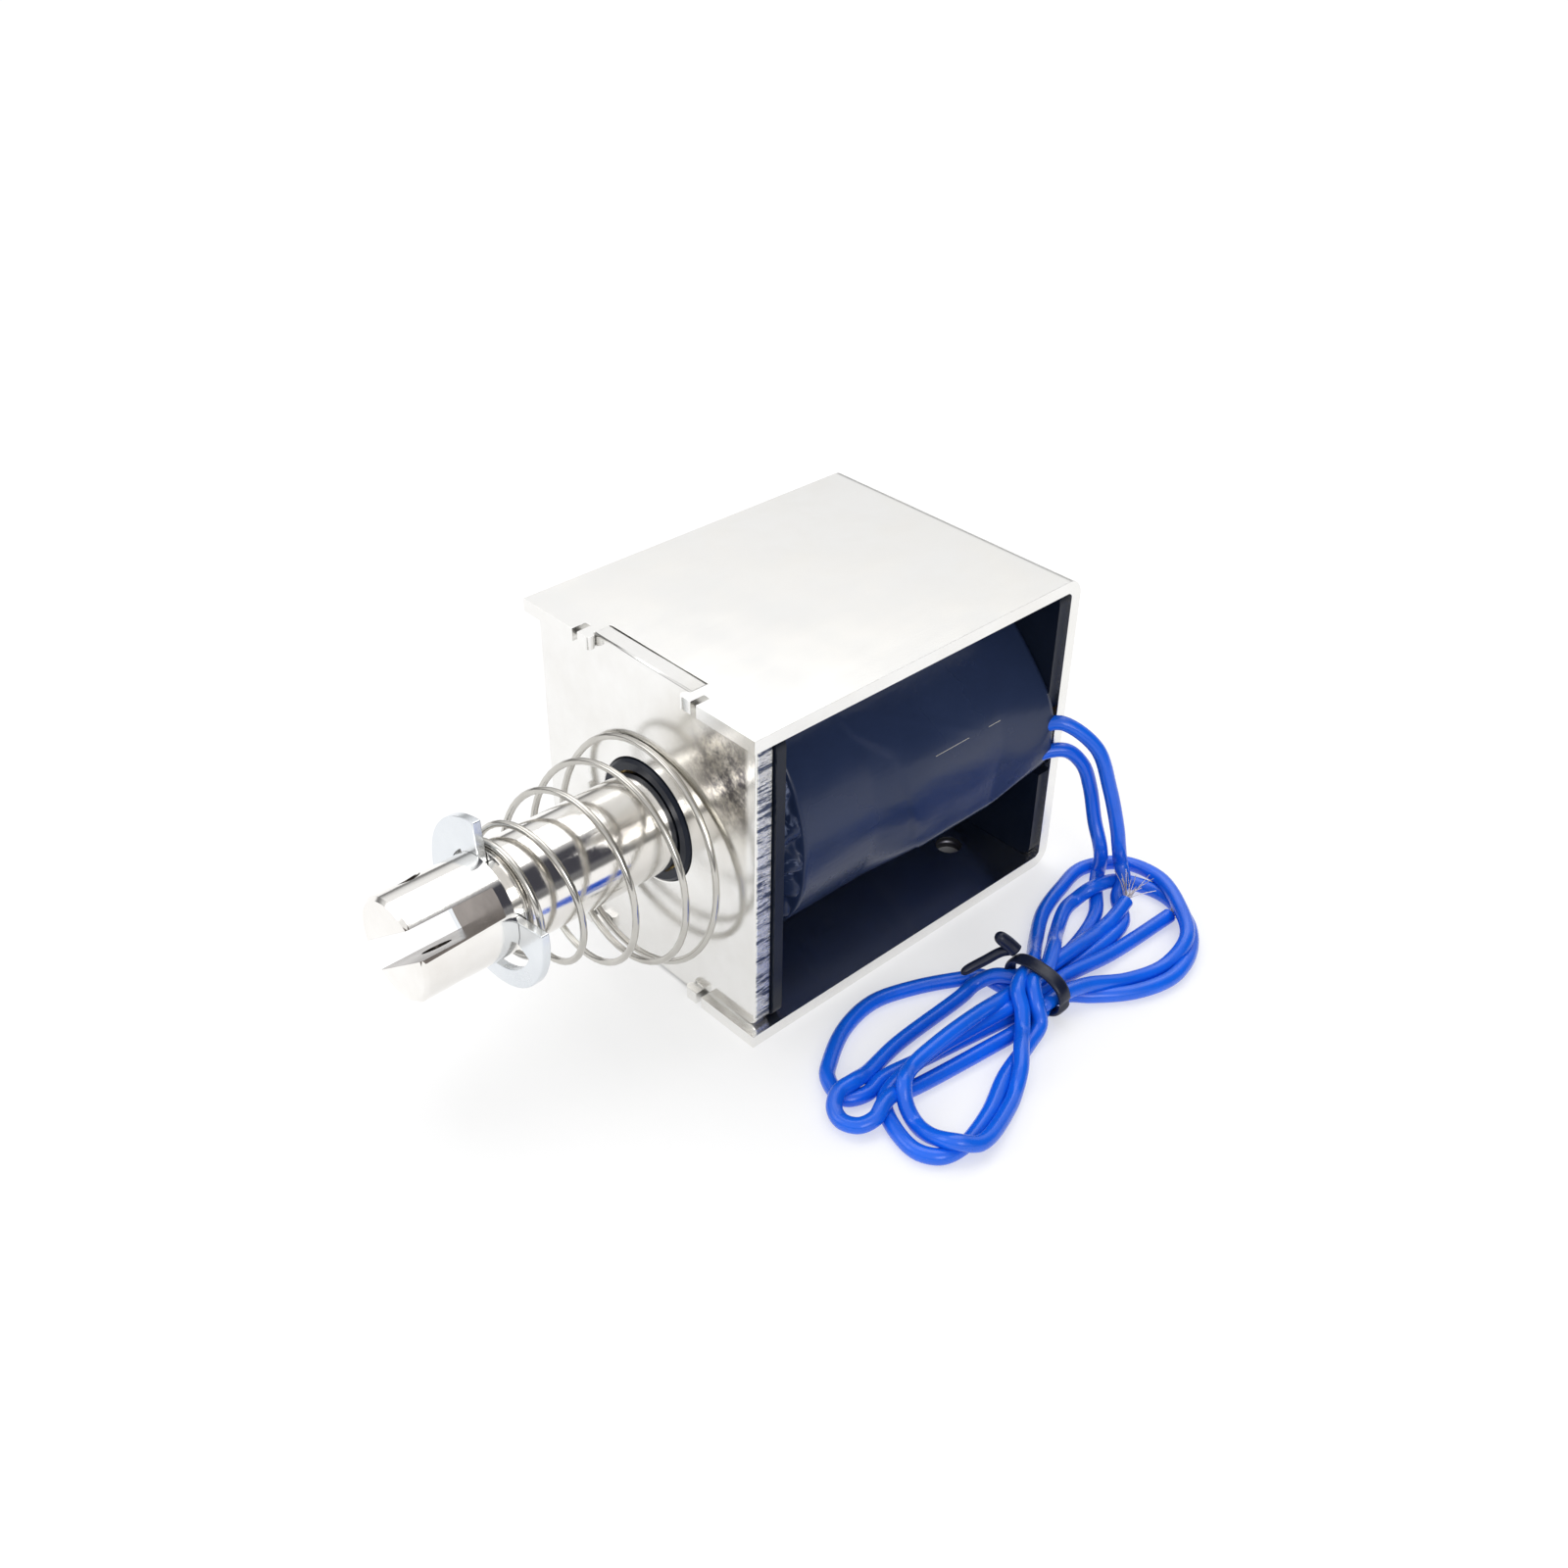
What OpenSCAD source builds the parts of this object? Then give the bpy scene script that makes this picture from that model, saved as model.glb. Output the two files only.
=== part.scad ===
// Open frame push pull solenoid: a bent steel frame round a coil, a plunger with a clevis nose that the
// coil draws in, a conical return spring, and two flying leads.
// Millimetres. +X runs out along the plunger, +Y is the side that the leads leave on, +Z is up.
// The origin is the centre of the base's hole pattern, on its underside.

/* [Frame] */
// Length of the frame, along the plunger
frame_l = 64; // [60:0.5:80]
// Width of the frame strip
frame_w = 48; // [46:0.5:60]
// Height of the frame
frame_h = 52; // [50:0.5:66]
// Thickness of the frame strip
strip_t = 2; // [1.5:0.1:2.6]
// Outside radius of the two bends
bend_r = 3; // [2.8:0.1:5]
// Diameter of the base holes
base_hole_d = 4.2; // [3:0.1:5.5]
// Distance between the base holes along the plunger
base_hole_dx = 42.5; // [30:0.5:44]
// Distance between the base holes across the frame
base_hole_dy = 25; // [16:0.5:34]

/* [Front plate] */
// Thickness of the front plate
plate_t = 3; // [2:0.1:4]
// How far the plate's face sits behind the frame's front edges
plate_set = 1.5; // [1.2:0.1:3]
// How far each side of the plate stays inside the frame's width
plate_inset = 1.25; // [0.5:0.05:3]
// Radius of the plate's four corners
plate_corner_r = 1.5; // [0.5:0.1:3]
// Width of the tabs that the frame holds
tab_w = 20; // [12:0.5:26]
// Width of each staked ear beside a tab
ear_w = 1.7; // [1.2:0.1:2.5]
// Width of the relief slit behind each ear
slit_w = 1.1; // [0.6:0.1:2]
// Depth of the relief slit
slit_d = 2.4; // [1.5:0.1:4]

/* [Bobbin] */
// How far each side of the flanges stays inside the frame's width
flange_inset = 0.75; // [0.3:0.05:2]
// Thickness of the flanges
flange_t = 1.6; // [1:0.1:2.5]
// Wall of the bobbin's tube
tube_wall = 1; // [0.8:0.1:1.4]
// Outside radius of the nose that comes through the front plate
nose_r = 9.4; // [9.2:0.1:10.5]
// How far the nose stands out of the front plate
nose_out = 0.5; // [0.2:0.1:1]
// Wall of the brass guide tube
guide_wall = 0.5; // [0.3:0.05:0.7]

/* [Coil] */
// Air gap between the taped coil and the nearer of the frame's walls and open sides
coil_gap = 2; // [1.6:0.1:4]
// Thickness of the outer tape
tape_t = 0.5; // [0.3:0.05:0.8]
// Length of the sloping front shoulder of the coil
shoulder_l = 5.3; // [2:0.1:8]
// How far the shoulder falls towards the bobbin's tube
shoulder_fall = 6.5; // [3:0.1:8]
// Thickness of the film under and over the winding
film_t = 0.2; // [0.1:0.05:0.3]
// Diameter of the winding's wire ends
magnet_wire_d = 0.5; // [0.3:0.05:0.6]

/* [Plunger] */
// Diameter of the plunger
plunger_d = 15; // [14:0.1:15.4]
// Running clearance of the plunger in its guide tube, all round
run_gap = 0.05; // [0.02:0.01:0.09]
// How far the plunger stands out of the frame at rest
plunger_out = 40; // [36:0.5:48]
// Travel of the plunger from rest to the fixed core
stroke = 10; // [5:0.5:12]
// Width of the clevis slot
slot_w = 4.2; // [3:0.1:5]
// Depth of the clevis slot
slot_l = 12.7; // [10:0.1:14]
// Turn of the clevis slot about the plunger's axis, in degrees
slot_turn = 38; // [0:1:90]
// Diameter of the cross hole in the clevis
pin_hole_d = 4.2; // [3:0.1:5]
// Distance of the cross hole from the plunger's end
pin_inset = 5.5; // [4:0.1:7]
// Chamfer on the plunger's outer end
nose_chamfer = 0.5; // [0.2:0.05:1]
// Length of the cone at the plunger's inner end
cone_l = 6; // [3:0.1:8]
// Radius of the cone where it starts
cone_r = 6.4; // [5:0.1:6.8]
// Radius of the cone's flat tip
cone_tip_r = 2.8; // [2:0.1:4]

/* [Fixed core] */
// Length of the fixed core in the coil
pole_l = 17; // [13:0.5:22]
// Radius of the neck that is riveted into the frame
neck_r = 4; // [3:0.1:5]
// Thickness of the brass shim in the core's cup
shim_t = 0.4; // [0.2:0.05:0.8]
// Space left between plunger and shim when the plunger is home
home_gap = 0.1; // [0.05:0.01:0.3]

/* [Retaining ring] */
// Diameter of the ring
ring_d = 25; // [22:0.5:27]
// Thickness of the ring
ring_t = 1.3; // [1:0.1:1.6]
// Diameter of the groove that the ring snaps into
groove_d = 12; // [11:0.1:13]
// Clearance of the ring in its groove, on each face and at its bottom
groove_gap = 0.05; // [0.02:0.01:0.09]
// Distance of the ring's middle from the plunger's outer end
ring_inset = 14.8; // [14.6:0.1:18]
// Angle that the ring's mouth is open, in degrees
mouth_angle = 86; // [60:1:110]
// Angle of each of the ring's three lugs, in degrees
lug_angle = 30; // [20:1:40]
// Radius of the clearances between the lugs
ring_relief_r = 10.2; // [8.5:0.1:10.5]
// Turn of the ring's mouth about the plunger, in degrees
mouth_turn = 52; // [0:1:90]

/* [Return spring] */
// Diameter of the spring wire
spring_d = 1; // [0.6:0.1:1.3]
// Middle radius of the coils at the ring
spring_small_r = 8.6; // [8.5:0.1:10]
// Middle radius of the last coil, on the front plate
spring_large_r = 16.6; // [12:0.1:17]
// Number of close coils at the ring
close_turns = 1; // [1:0.25:3]
// Number of open coils
open_turns = 3.3; // [2:0.1:6]
// Number of turns of the end coil that rests on the front plate
end_turns = 0.9; // [0.3:0.1:1]
// How far the last coil hangs below the plunger's axis
spring_sag = 3.6; // [0:0.1:4]
// How far the last coil sits towards the leads' side
spring_side = 0.8; // [-1:0.1:1]
// Lean of the coils, whose tops tip back to the plate, in degrees
spring_lean = 6.5; // [0:0.5:8]
// Turn at which the spring's wire starts, in degrees
spring_phase = 250; // [0:5:355]

/* [Leads] */
// Diameter of the leads
lead_d = 2.3; // [1.8:0.1:2.4]
// Diameter of the stripped and tinned ends
tip_d = 1.3; // [0.8:0.1:1.6]
// Length of the stripped ends
tip_l = 6; // [4:0.5:9]
// Outside diameter of the sleeves over the joints
sleeve_d = 2.8; // [2.6:0.1:3]
// Wall of the sleeves
sleeve_wall = 0.25; // [0.2:0.05:0.4]
// Length of the sleeves
sleeve_l = 14; // [10:0.5:16]
// Height of the leads' hank
hank_h = 7; // [6:0.1:9]
// Width of the tie round the hank
tie_w = 2; // [1.5:0.1:3]
// Thickness of the tie
tie_t = 1.2; // [0.8:0.1:1.4]

/* [Hidden] */
$fn = 96;

// Clearance of parts that are fitted together
fit = 0.05;
// Extra length of a cutting solid past the face that it cuts
over = 1;

front_x = frame_l / 2;
back_x = -frame_l / 2;
axis_z = frame_h / 2;
inner_back_x = back_x + strip_t;
inner_h = frame_h - 2 * strip_t;

// Front plate and the notches that hold it
plate_front_x = front_x - plate_set;
plate_back_x = plate_front_x - plate_t;
plate_w = frame_w - 2 * plate_inset;
notch_w = tab_w + 2 * fit;
ear_r = min(ear_w, plate_set) / 2;

// Plunger at rest, and what it meets when it is home
plunger_r = plunger_d / 2;
nose_x = front_x + plunger_out;
pole_x = inner_back_x + pole_l;
shoulder_x = pole_x + stroke + shim_t + home_gap;
cone_x = shoulder_x - cone_l;
cup_x = pole_x - cone_l;
pin_x = nose_x - pin_inset;

// Bobbin
guide_in_r = plunger_r + run_gap;
guide_out_r = guide_in_r + guide_wall;
tube_in_r = guide_out_r + fit;
tube_out_r = tube_in_r + tube_wall;
nose_x1 = plate_front_x + nose_out;
lip_l = 1;
lip_r = plunger_r + 0.3;
flange_w = frame_w - 2 * flange_inset;
flange_h = inner_h - 2 * fit;
flange_corner_r = 2;
// Chamfer of the rear flange over the frame's inside bends
bend_clear = bend_r - strip_t;
spool_x0 = inner_back_x + flange_t;
spool_x1 = plate_back_x - flange_t;

// Coil
coil_r = min(frame_w / 2, inner_h / 2) - coil_gap;
tape_in_r = coil_r - tape_t;
wire_room = magnet_wire_d + 2 * fit;
under_tape_r = tape_in_r - wire_room;
wind_r = under_tape_r - film_t - fit;
wind_in_r = tube_out_r + film_t + 2 * fit;
wind_x0 = spool_x0 + wire_room;
wind_x1 = spool_x1 - wire_room;
tape_x0 = spool_x0 + fit;
tape_x1 = spool_x1 - fit;
crest_x = spool_x1 - shoulder_l;
wind_crest_x = crest_x - wire_room;
tape_end_r = tape_in_r - shoulder_fall;
shoulder_r = wind_r - shoulder_fall;

// Joints of wire and lead, under the tape
sleeve_r = sleeve_d / 2;
joint_r = sleeve_r - sleeve_wall - 0.3;
joint_path_r = under_tape_r + fit + sleeve_r;
sleeve_x0 = -18;
sleeve_x1 = sleeve_x0 + sleeve_l;
joint_inset = 2;
// Length over which a wire rises from the coil into its sleeve
wire_rise_l = 3;
joint_turn_a = 16;
joint_turn_b = -22;

// The tape's tent over the leads
tent_side = frame_w / 2;
tent_z0 = axis_z - 9;
tent_z1 = axis_z + 5;
tent_corner_r = 2.5;
tent_depth = 6;
tent_nose_l = 6;
tent_nose_w = 8;
// Open mouth at the rear of the tent
mouth_l = 6;
mouth_depth = 2.2;

// Retaining ring and spring
ring_x = nose_x - ring_inset;
ring_r = ring_d / 2;
groove_r = groove_d / 2;
groove_w = ring_t + 2 * groove_gap;
seat_r = groove_r + groove_gap;
spring_r = spring_d / 2;
spring_x1 = ring_x - ring_t / 2 - spring_r - fit;
lean_slope = tan(spring_lean);
spring_x0 = plate_front_x + spring_r + fit + lean_slope * spring_large_r;
close_pitch = spring_d + 0.05;
close_play = spring_small_r - spring_r - plunger_r - 0.08;
close_sag = close_play * 0.85;
close_side = close_play * 0.5;
// How fast the coils widen: 1 is a straight cone, and less widens sooner
spring_widening = 0.87;
spring_steps = 24;

// Where the leads run from their sleeves to the hank
lead_r = lead_d / 2;
lead_a_route = [[-18, 21.5, 32.2], [-22, 21.9, 30.3], [-26, 22.9, 28.4], [-28.5, 24.3, 28.1],
    [-29.4, 26, 28.6], [-31.6, 29, 26.9], [-32.9, 32, 21.6], [-33.5, 34.7, 14.5], [-34.2, 36.2, 7.3],
    [-34.4, 37, 4.5]];
lead_b_route = [[-18, 20.7, 17.6], [-22, 21.8, 19], [-26, 22.9, 20.6], [-28.6, 24.4, 21.8],
    [-30.2, 25.7, 22.4], [-31.6, 27, 21.5], [-33, 29, 17.2], [-32.7, 32, 11.4], [-32.4, 34.2, 6.4],
    [-31.8, 35.8, 4]];

// The hank: two lobes that meet at the tie, each a hull of [x, y, radius] rounds
tie_x = -4;
tie_y = 45;
waist_r = 4.6;
front_lobe = [[21.5, 41.5, 12], [22.5, 49.5, 10], [tie_x, tie_y, waist_r]];
rear_lobe = [[-30.5, 42, 10.5], [tie_x, tie_y, waist_r]];
eye = [-31, 42.3, 6];
neck_w = 8;
neck_h = 5.4;
neck_z = tie_t + 2 * fit;
neck_round = 2.2;
tail_l = 6;
tail_r = 0.6;
tail_twist = 500;
tail_steps = 16;

// Where the stripped ends start and how they lie, as turns about Z and up from the floor
tip_a_start = [-25.4, 44.4, 4.6];
tip_a_turn = [0, 80, 216];
tip_b_start = [-29.5, 48.7, 4.2];
tip_b_turn = [0, 84, 200];

// Point on the middle of one of the tie's two twisted tails, from 0 at the tie to 1 at its end
function tail_point(along, side) =
    let(a = side + tail_twist * along, r = tail_r * 0.9)
    [r * cos(a), r * sin(a), tail_l * along];

function unit(v) = v / norm(v);

// Direction of a path at point i
function heading(path, i) =
    unit(path[min(i + 1, len(path) - 1)] - path[max(i - 1, 0)]);

// A direction square to the path, carried along it without twist
function carried(path, i, side) =
    let(t = heading(path, i))
    unit(side - t * (side * t));
function sides_along(path, i, side) =
    i >= len(path) ? [] :
    let(s = carried(path, i, side))
    concat([s], sides_along(path, i + 1, s));

// Round bar with flat ends that follows a path
module bar_along(path, r, sides, first_side) {
    n = len(path);
    across = sides_along(path, 0, first_side);
    ring_points = [for (i = [0:n - 1])
        let(u = across[i], v = cross(heading(path, i), u))
        for (k = [0:sides - 1])
            let(a = 360 * k / sides)
            path[i] + r * (u * cos(a) + v * sin(a))];
    walls = [for (i = [0:n - 2], k = [0:sides - 1])
        let(a = i * sides + k, b = i * sides + (k + 1) % sides)
        each [[a, a + sides, b + sides], [a, b + sides, b]]];
    start_cap = [[for (k = [0:sides - 1]) k]];
    end_cap = [[for (k = [sides - 1:-1:0]) (n - 1) * sides + k]];
    polyhedron(ring_points, concat(start_cap, walls, end_cap), convexity = 10);
}

// Flat shape with x across (+Y) and y up (+Z), made thick along +X from x0
module plate_at(x0, thickness) {
    translate([x0, 0, 0])
        rotate([90, 0, 90])
            linear_extrude(thickness)
                children();
}

// Body of revolution about the plunger's axis, from [x, radius] points
module turned(profile) {
    translate([0, 0, axis_z])
        rotate([90, 0, 90])
            rotate_extrude()
                polygon([for (p = profile) [p[1], p[0]]]);
}

// Round bar about the plunger's axis
module axial_bar(x0, x1, r) {
    translate([x0, 0, axis_z])
        rotate([0, 90, 0])
            cylinder(r = r, h = x1 - x0);
}

// Children turned about the plunger's axis, 0 towards +Y and 90 upwards
module about_axis(turn) {
    translate([0, 0, axis_z])
        rotate([turn, 0, 0])
            children();
}

// Rectangle with round corners, centred
module rounded_rect(w, h, r) {
    square([w - 2 * r, h], center = true);
    square([w, h - 2 * r], center = true);
    for (sx = [-1, 1], sy = [-1, 1])
        translate([sx * (w / 2 - r), sy * (h / 2 - r)])
            circle(r = r);
}

// Side view of the frame's strip, or of the space inside it
module strip_outline(inset, front) {
    r = bend_r - inset;
    x0 = back_x + inset;
    z0 = inset;
    z1 = frame_h - inset;
    translate([x0 + r, z0])
        square([front - x0 - r, z1 - z0]);
    translate([x0, z0 + r])
        square([front - x0, z1 - z0 - 2 * r]);
    for (z = [z0 + r, z1 - r])
        translate([x0 + r, z])
            circle(r = r);
}

module frame() {
    color("gainsboro") {
        difference() {
            rotate([90, 0, 0])
                linear_extrude(frame_w, center = true)
                    difference() {
                        strip_outline(0, front_x);
                        strip_outline(strip_t, front_x + over);
                    }
            // Notches for the front plate's tabs, through the top and the base
            translate([plate_back_x - fit, -notch_w / 2, -over])
                cube([plate_t + plate_set + over, notch_w, frame_h + 2 * over]);
            // Relief slits behind the ears
            for (side = [-1, 1])
                translate([front_x - slit_d, side * (notch_w / 2 + ear_w + slit_w / 2) - slit_w / 2, -over])
                    cube([slit_d + over, slit_w, frame_h + 2 * over]);
            for (sx = [-1, 1], sy = [-1, 1])
                translate([sx * base_hole_dx / 2, sy * base_hole_dy / 2, -over])
                    cylinder(d = base_hole_d, h = strip_t + 2 * over);
            axial_bar(back_x - over, inner_back_x + over, neck_r + fit);
        }
        // Ears pressed over the tabs
        for (side = [-1, 1], z = [0, frame_h - strip_t])
            translate([plate_front_x + fit + ear_r, side * notch_w / 2, z])
                cylinder(r = ear_r, h = strip_t);
    }
}

module front_plate() {
    color("whitesmoke")
        difference() {
            plate_at(plate_back_x, plate_t)
                translate([0, axis_z]) {
                    rounded_rect(plate_w, inner_h - 2 * fit, plate_corner_r);
                    square([tab_w, frame_h], center = true);
                }
            axial_bar(plate_back_x - over, plate_front_x + over, nose_r + fit);
        }
}

// Slots in the rear flange's edge that the leads leave through
module flange_slot() {
    slot_in = 3.2;
    translate([inner_back_x - over, flange_w / 2 - slot_in, tent_z0 + 1])
        cube([flange_t + 2 * over, slot_in + over, tent_z1 - tent_z0 - 2]);
}

module bobbin() {
    color("midnightblue") {
        turned([[inner_back_x, tube_in_r], [nose_x1 - lip_l, tube_in_r], [nose_x1 - lip_l, lip_r],
            [nose_x1, lip_r], [nose_x1, nose_r - 0.4], [nose_x1 - 0.4, nose_r], [plate_back_x, nose_r],
            [spool_x1, nose_r], [spool_x1, tube_out_r], [inner_back_x, tube_out_r]]);
        difference() {
            for (x = [inner_back_x, spool_x1])
                plate_at(x, flange_t)
                    translate([0, axis_z])
                        rounded_rect(flange_w, flange_h, flange_corner_r);
            axial_bar(inner_back_x - over, plate_back_x + over, tube_in_r + tube_wall / 2);
            flange_slot();
            for (side = [-1, 1])
                translate([inner_back_x, 0, axis_z + side * inner_h / 2])
                    rotate([0, 45, 0])
                        cube([bend_clear * sqrt(2), frame_w, bend_clear * sqrt(2)], center = true);
        }
    }
}

module guide_tube() {
    color("goldenrod")
        turned([[inner_back_x + fit, guide_in_r], [nose_x1 - lip_l - fit, guide_in_r],
            [nose_x1 - lip_l - fit, guide_out_r], [inner_back_x + fit, guide_out_r]]);
}

module core_wrap() {
    color("khaki")
        turned([[spool_x0 + fit, tube_out_r + fit], [spool_x1 - fit, tube_out_r + fit],
            [spool_x1 - fit, tube_out_r + fit + film_t], [spool_x0 + fit, tube_out_r + fit + film_t]]);
}

module winding() {
    color("peru")
        turned([[wind_x0, wind_in_r], [wind_x1, wind_in_r], [wind_x1, shoulder_r], [wind_crest_x, wind_r],
            [wind_x0, wind_r]]);
}

module under_tape() {
    color("khaki")
        turned([[wind_x0, wind_r + fit], [wind_crest_x - fit, wind_r + fit],
            [wind_crest_x - fit, under_tape_r], [wind_x0, under_tape_r]]);
}

// Solid that the leads and their joints fill at the side of the coil, grown by the given amount
module lead_tent(grow, rear) {
    hull() {
        translate([rear, 0, (tent_z0 + tent_z1) / 2])
            rotate([90, 0, 90])
                linear_extrude(0.3)
                    translate([tent_side - tape_t - tent_depth / 2, 0])
                        rounded_rect(tent_depth + 2 * grow, tent_z1 - tent_z0 + 2 * (grow - tape_t),
                            tent_corner_r, $fn = 32);
        for (turn = [joint_turn_a, joint_turn_b])
            about_axis(turn)
                translate([sleeve_x0, joint_path_r, 0])
                    rotate([0, 90, 0])
                        cylinder(r = sleeve_r + fit + grow, h = sleeve_l + 1, $fn = 32);
        about_axis((joint_turn_a + joint_turn_b) / 2)
            translate([sleeve_x1 + tent_nose_l, under_tape_r - 1 + grow, -tent_nose_w / 2])
                cube([0.5, 1, tent_nose_w]);
    }
}

module coil_tape() {
    color("darkslateblue")
        difference() {
            union() {
                turned([[tape_x0, tape_in_r - fit], [tape_x1, tape_end_r - fit],
                    [tape_x1, tape_end_r + tape_t], [crest_x, coil_r], [tape_x0, coil_r]]);
                lead_tent(tape_t, tape_x0);
            }
            turned([[tape_x0 - over, 0], [tape_x1 + over, 0], [tape_x1 + over, tape_end_r],
                [tape_x1, tape_end_r], [crest_x, tape_in_r], [tape_x0 - over, tape_in_r]]);
            lead_tent(0, tape_x0 - 0.2);
            translate([tape_x0 - over, tent_side - mouth_depth, tent_z0 + 1])
                cube([mouth_l + over, mouth_depth + over, tent_z1 - tent_z0 - 1]);
        }
}

module fixed_core() {
    color("silver")
        turned([[back_x, 0], [back_x, neck_r - 0.6], [back_x + 0.3, neck_r], [inner_back_x, neck_r],
            [inner_back_x, plunger_r], [pole_x, plunger_r], [pole_x, cone_r], [cup_x, cone_tip_r],
            [cup_x, 0]]);
}

module residual_shim() {
    color("gold")
        axial_bar(cup_x, cup_x + shim_t, cone_tip_r - fit);
}

module start_wire() {
    lane_r = under_tape_r + wire_room / 2;
    inner_r = wind_in_r + wire_room;
    lane_x = spool_x1 - wire_room / 2;
    slope = wire_room * 0.6;
    color("orangered")
        about_axis(joint_turn_a)
            bar_along([[lane_x, inner_r, 0], [lane_x, (inner_r + shoulder_r) / 2, 0],
                [lane_x, shoulder_r, 0], [wind_x1 - 0.5 + slope, shoulder_r + 0.5 + slope, 0],
                [wind_crest_x + slope, wind_r + slope, 0], [wind_crest_x - 1, lane_r, 0],
                [wind_crest_x - wire_rise_l, lane_r, 0], [sleeve_x1 + wire_rise_l, lane_r, 0],
                [sleeve_x1 + wire_rise_l / 3, lane_r + 0.4, 0], [sleeve_x1, joint_path_r - 0.3, 0],
                [sleeve_x1 - joint_inset, joint_path_r, 0]], magnet_wire_d / 2, 8, [0, 0, 1]);
}

module finish_wire() {
    lane_r = under_tape_r + wire_room / 2;
    color("orangered")
        about_axis(joint_turn_b)
            bar_along([[sleeve_x1 + wire_rise_l, lane_r, 0], [sleeve_x1 + wire_rise_l / 3, lane_r + 0.4, 0],
                [sleeve_x1, joint_path_r - 0.2, 0], [sleeve_x1 - joint_inset, joint_path_r, 0]],
                magnet_wire_d / 2, 8, [0, 0, 1]);
}

// Soldered joint of a wire and a lead, on the sleeve's axis
module joint(turn) {
    color("lightsteelblue")
        about_axis(turn)
            translate([sleeve_x0, joint_path_r, 0])
                rotate([0, 90, 0])
                    cylinder(r = joint_r, h = sleeve_l - joint_inset);
}

module sleeve(turn) {
    color("ivory")
        about_axis(turn)
            translate([sleeve_x0, joint_path_r, 0])
                rotate([0, 90, 0])
                    difference() {
                        cylinder(r = sleeve_r, h = sleeve_l);
                        translate([0, 0, -over])
                            cylinder(r = sleeve_r - sleeve_wall, h = sleeve_l + 2 * over);
                    }
}

module lead(route) {
    color("royalblue")
        bar_along(route, lead_r, 8, [0, 0, 1]);
}

module lead_hank() {
    color("dodgerblue")
        difference() {
            linear_extrude(hank_h)
                for (lobe = [front_lobe, rear_lobe])
                    hull()
                        for (round = lobe)
                            translate([round[0], round[1]])
                                circle(r = round[2], $fn = 32);
            translate([eye[0], eye[1], -over])
                cylinder(r = eye[2], h = hank_h + 2 * over);
            // Seat of the tie
            difference() {
                translate([tie_x - tie_w / 2 - fit, tie_y - hank_h, -over])
                    cube([tie_w + 2 * fit, 2 * hank_h, hank_h + 2 * over]);
                tie_bar(tie_w + 4 * fit, 0);
            }
        }
}

// Bar with the section of the tied bundle, grown all round
module tie_bar(length, grow) {
    plate_at(tie_x - length / 2, length)
        translate([tie_y, neck_z + neck_h / 2])
            rounded_rect(neck_w + 2 * grow, neck_h + 2 * grow, neck_round + grow);
}

module lead_tie() {
    color("black") {
        difference() {
            tie_bar(tie_w, fit + tie_t);
            tie_bar(tie_w + 2 * over, fit);
        }
        // Twisted tails
        translate([tie_x, tie_y - neck_w / 2 - 0.3, neck_z + neck_h + tie_t / 2])
            rotate([68, 0, -28])
                for (side = [0, 180])
                    bar_along([for (i = [0:tail_steps]) tail_point(i / tail_steps, side)],
                        tail_r, 6, [1, 0, 0]);
    }
}

module lead_tip(start, turn) {
    color("lightgray")
        translate(start)
            rotate(turn)
                cylinder(d = tip_d, h = tip_l);
}

module plunger() {
    color("silver")
        difference() {
            turned([[cone_x, 0], [cone_x, cone_tip_r], [shoulder_x, cone_r], [shoulder_x, plunger_r - 0.3],
                [shoulder_x + 0.3, plunger_r], [ring_x - groove_w / 2, plunger_r],
                [ring_x - groove_w / 2, groove_r], [ring_x + groove_w / 2, groove_r],
                [ring_x + groove_w / 2, plunger_r], [nose_x - nose_chamfer, plunger_r],
                [nose_x, plunger_r - nose_chamfer], [nose_x, 0]]);
            about_axis(slot_turn) {
                translate([nose_x - slot_l, -plunger_d, -slot_w / 2])
                    cube([slot_l + over, 2 * plunger_d, slot_w]);
                translate([pin_x, 0, -plunger_d])
                    cylinder(d = pin_hole_d, h = 2 * plunger_d);
            }
        }
}

// Flat sector from one angle to another, past the ring's edge
module sector(from, to) {
    polygon(concat([[0, 0]], [for (i = [0:4]) ring_d * [cos(from + (to - from) * i / 4),
        sin(from + (to - from) * i / 4)]]));
}

module retaining_ring() {
    color("lightsteelblue")
        about_axis(mouth_turn)
            translate([ring_x - ring_t / 2, 0, 0])
                rotate([90, 0, 90])
                    linear_extrude(ring_t)
                        difference() {
                            circle(r = ring_r);
                            circle(r = seat_r);
                            sector(-mouth_angle / 2, mouth_angle / 2);
                            // Clearances between the lugs at the mouth and the lug at the back
                            for (side = [0, 1])
                                mirror([0, side])
                                    intersection() {
                                        circle(r = ring_relief_r);
                                        sector(mouth_angle / 2 + lug_angle, 180 - lug_angle / 2);
                                    }
                        }
}

// Point on the middle of the spring's wire, s turns from the ring
function spring_point(s) =
    let(past = max(0, s - close_turns),
        opened = min(1, past / open_turns),
        r = spring_small_r + (spring_large_r - spring_small_r) * pow(opened, spring_widening),
        sag = close_sag + (spring_sag - close_sag) * opened,
        side = close_side + (spring_side - close_side) * opened,
        close_end = spring_x1 - close_pitch * min(s, close_turns),
        a = spring_phase - 360 * s,
        lean = lean_slope * min(1, past) * r * sin(a))
    [close_end + (spring_x0 - close_end) * opened - lean, side + r * cos(a), axis_z - sag + r * sin(a)];

module return_spring() {
    turns = close_turns + open_turns + end_turns;
    color("lightslategray")
        bar_along([for (s = [0:1 / spring_steps:turns]) spring_point(s)], spring_r, 8, [1, 0, 0]);
}

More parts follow.
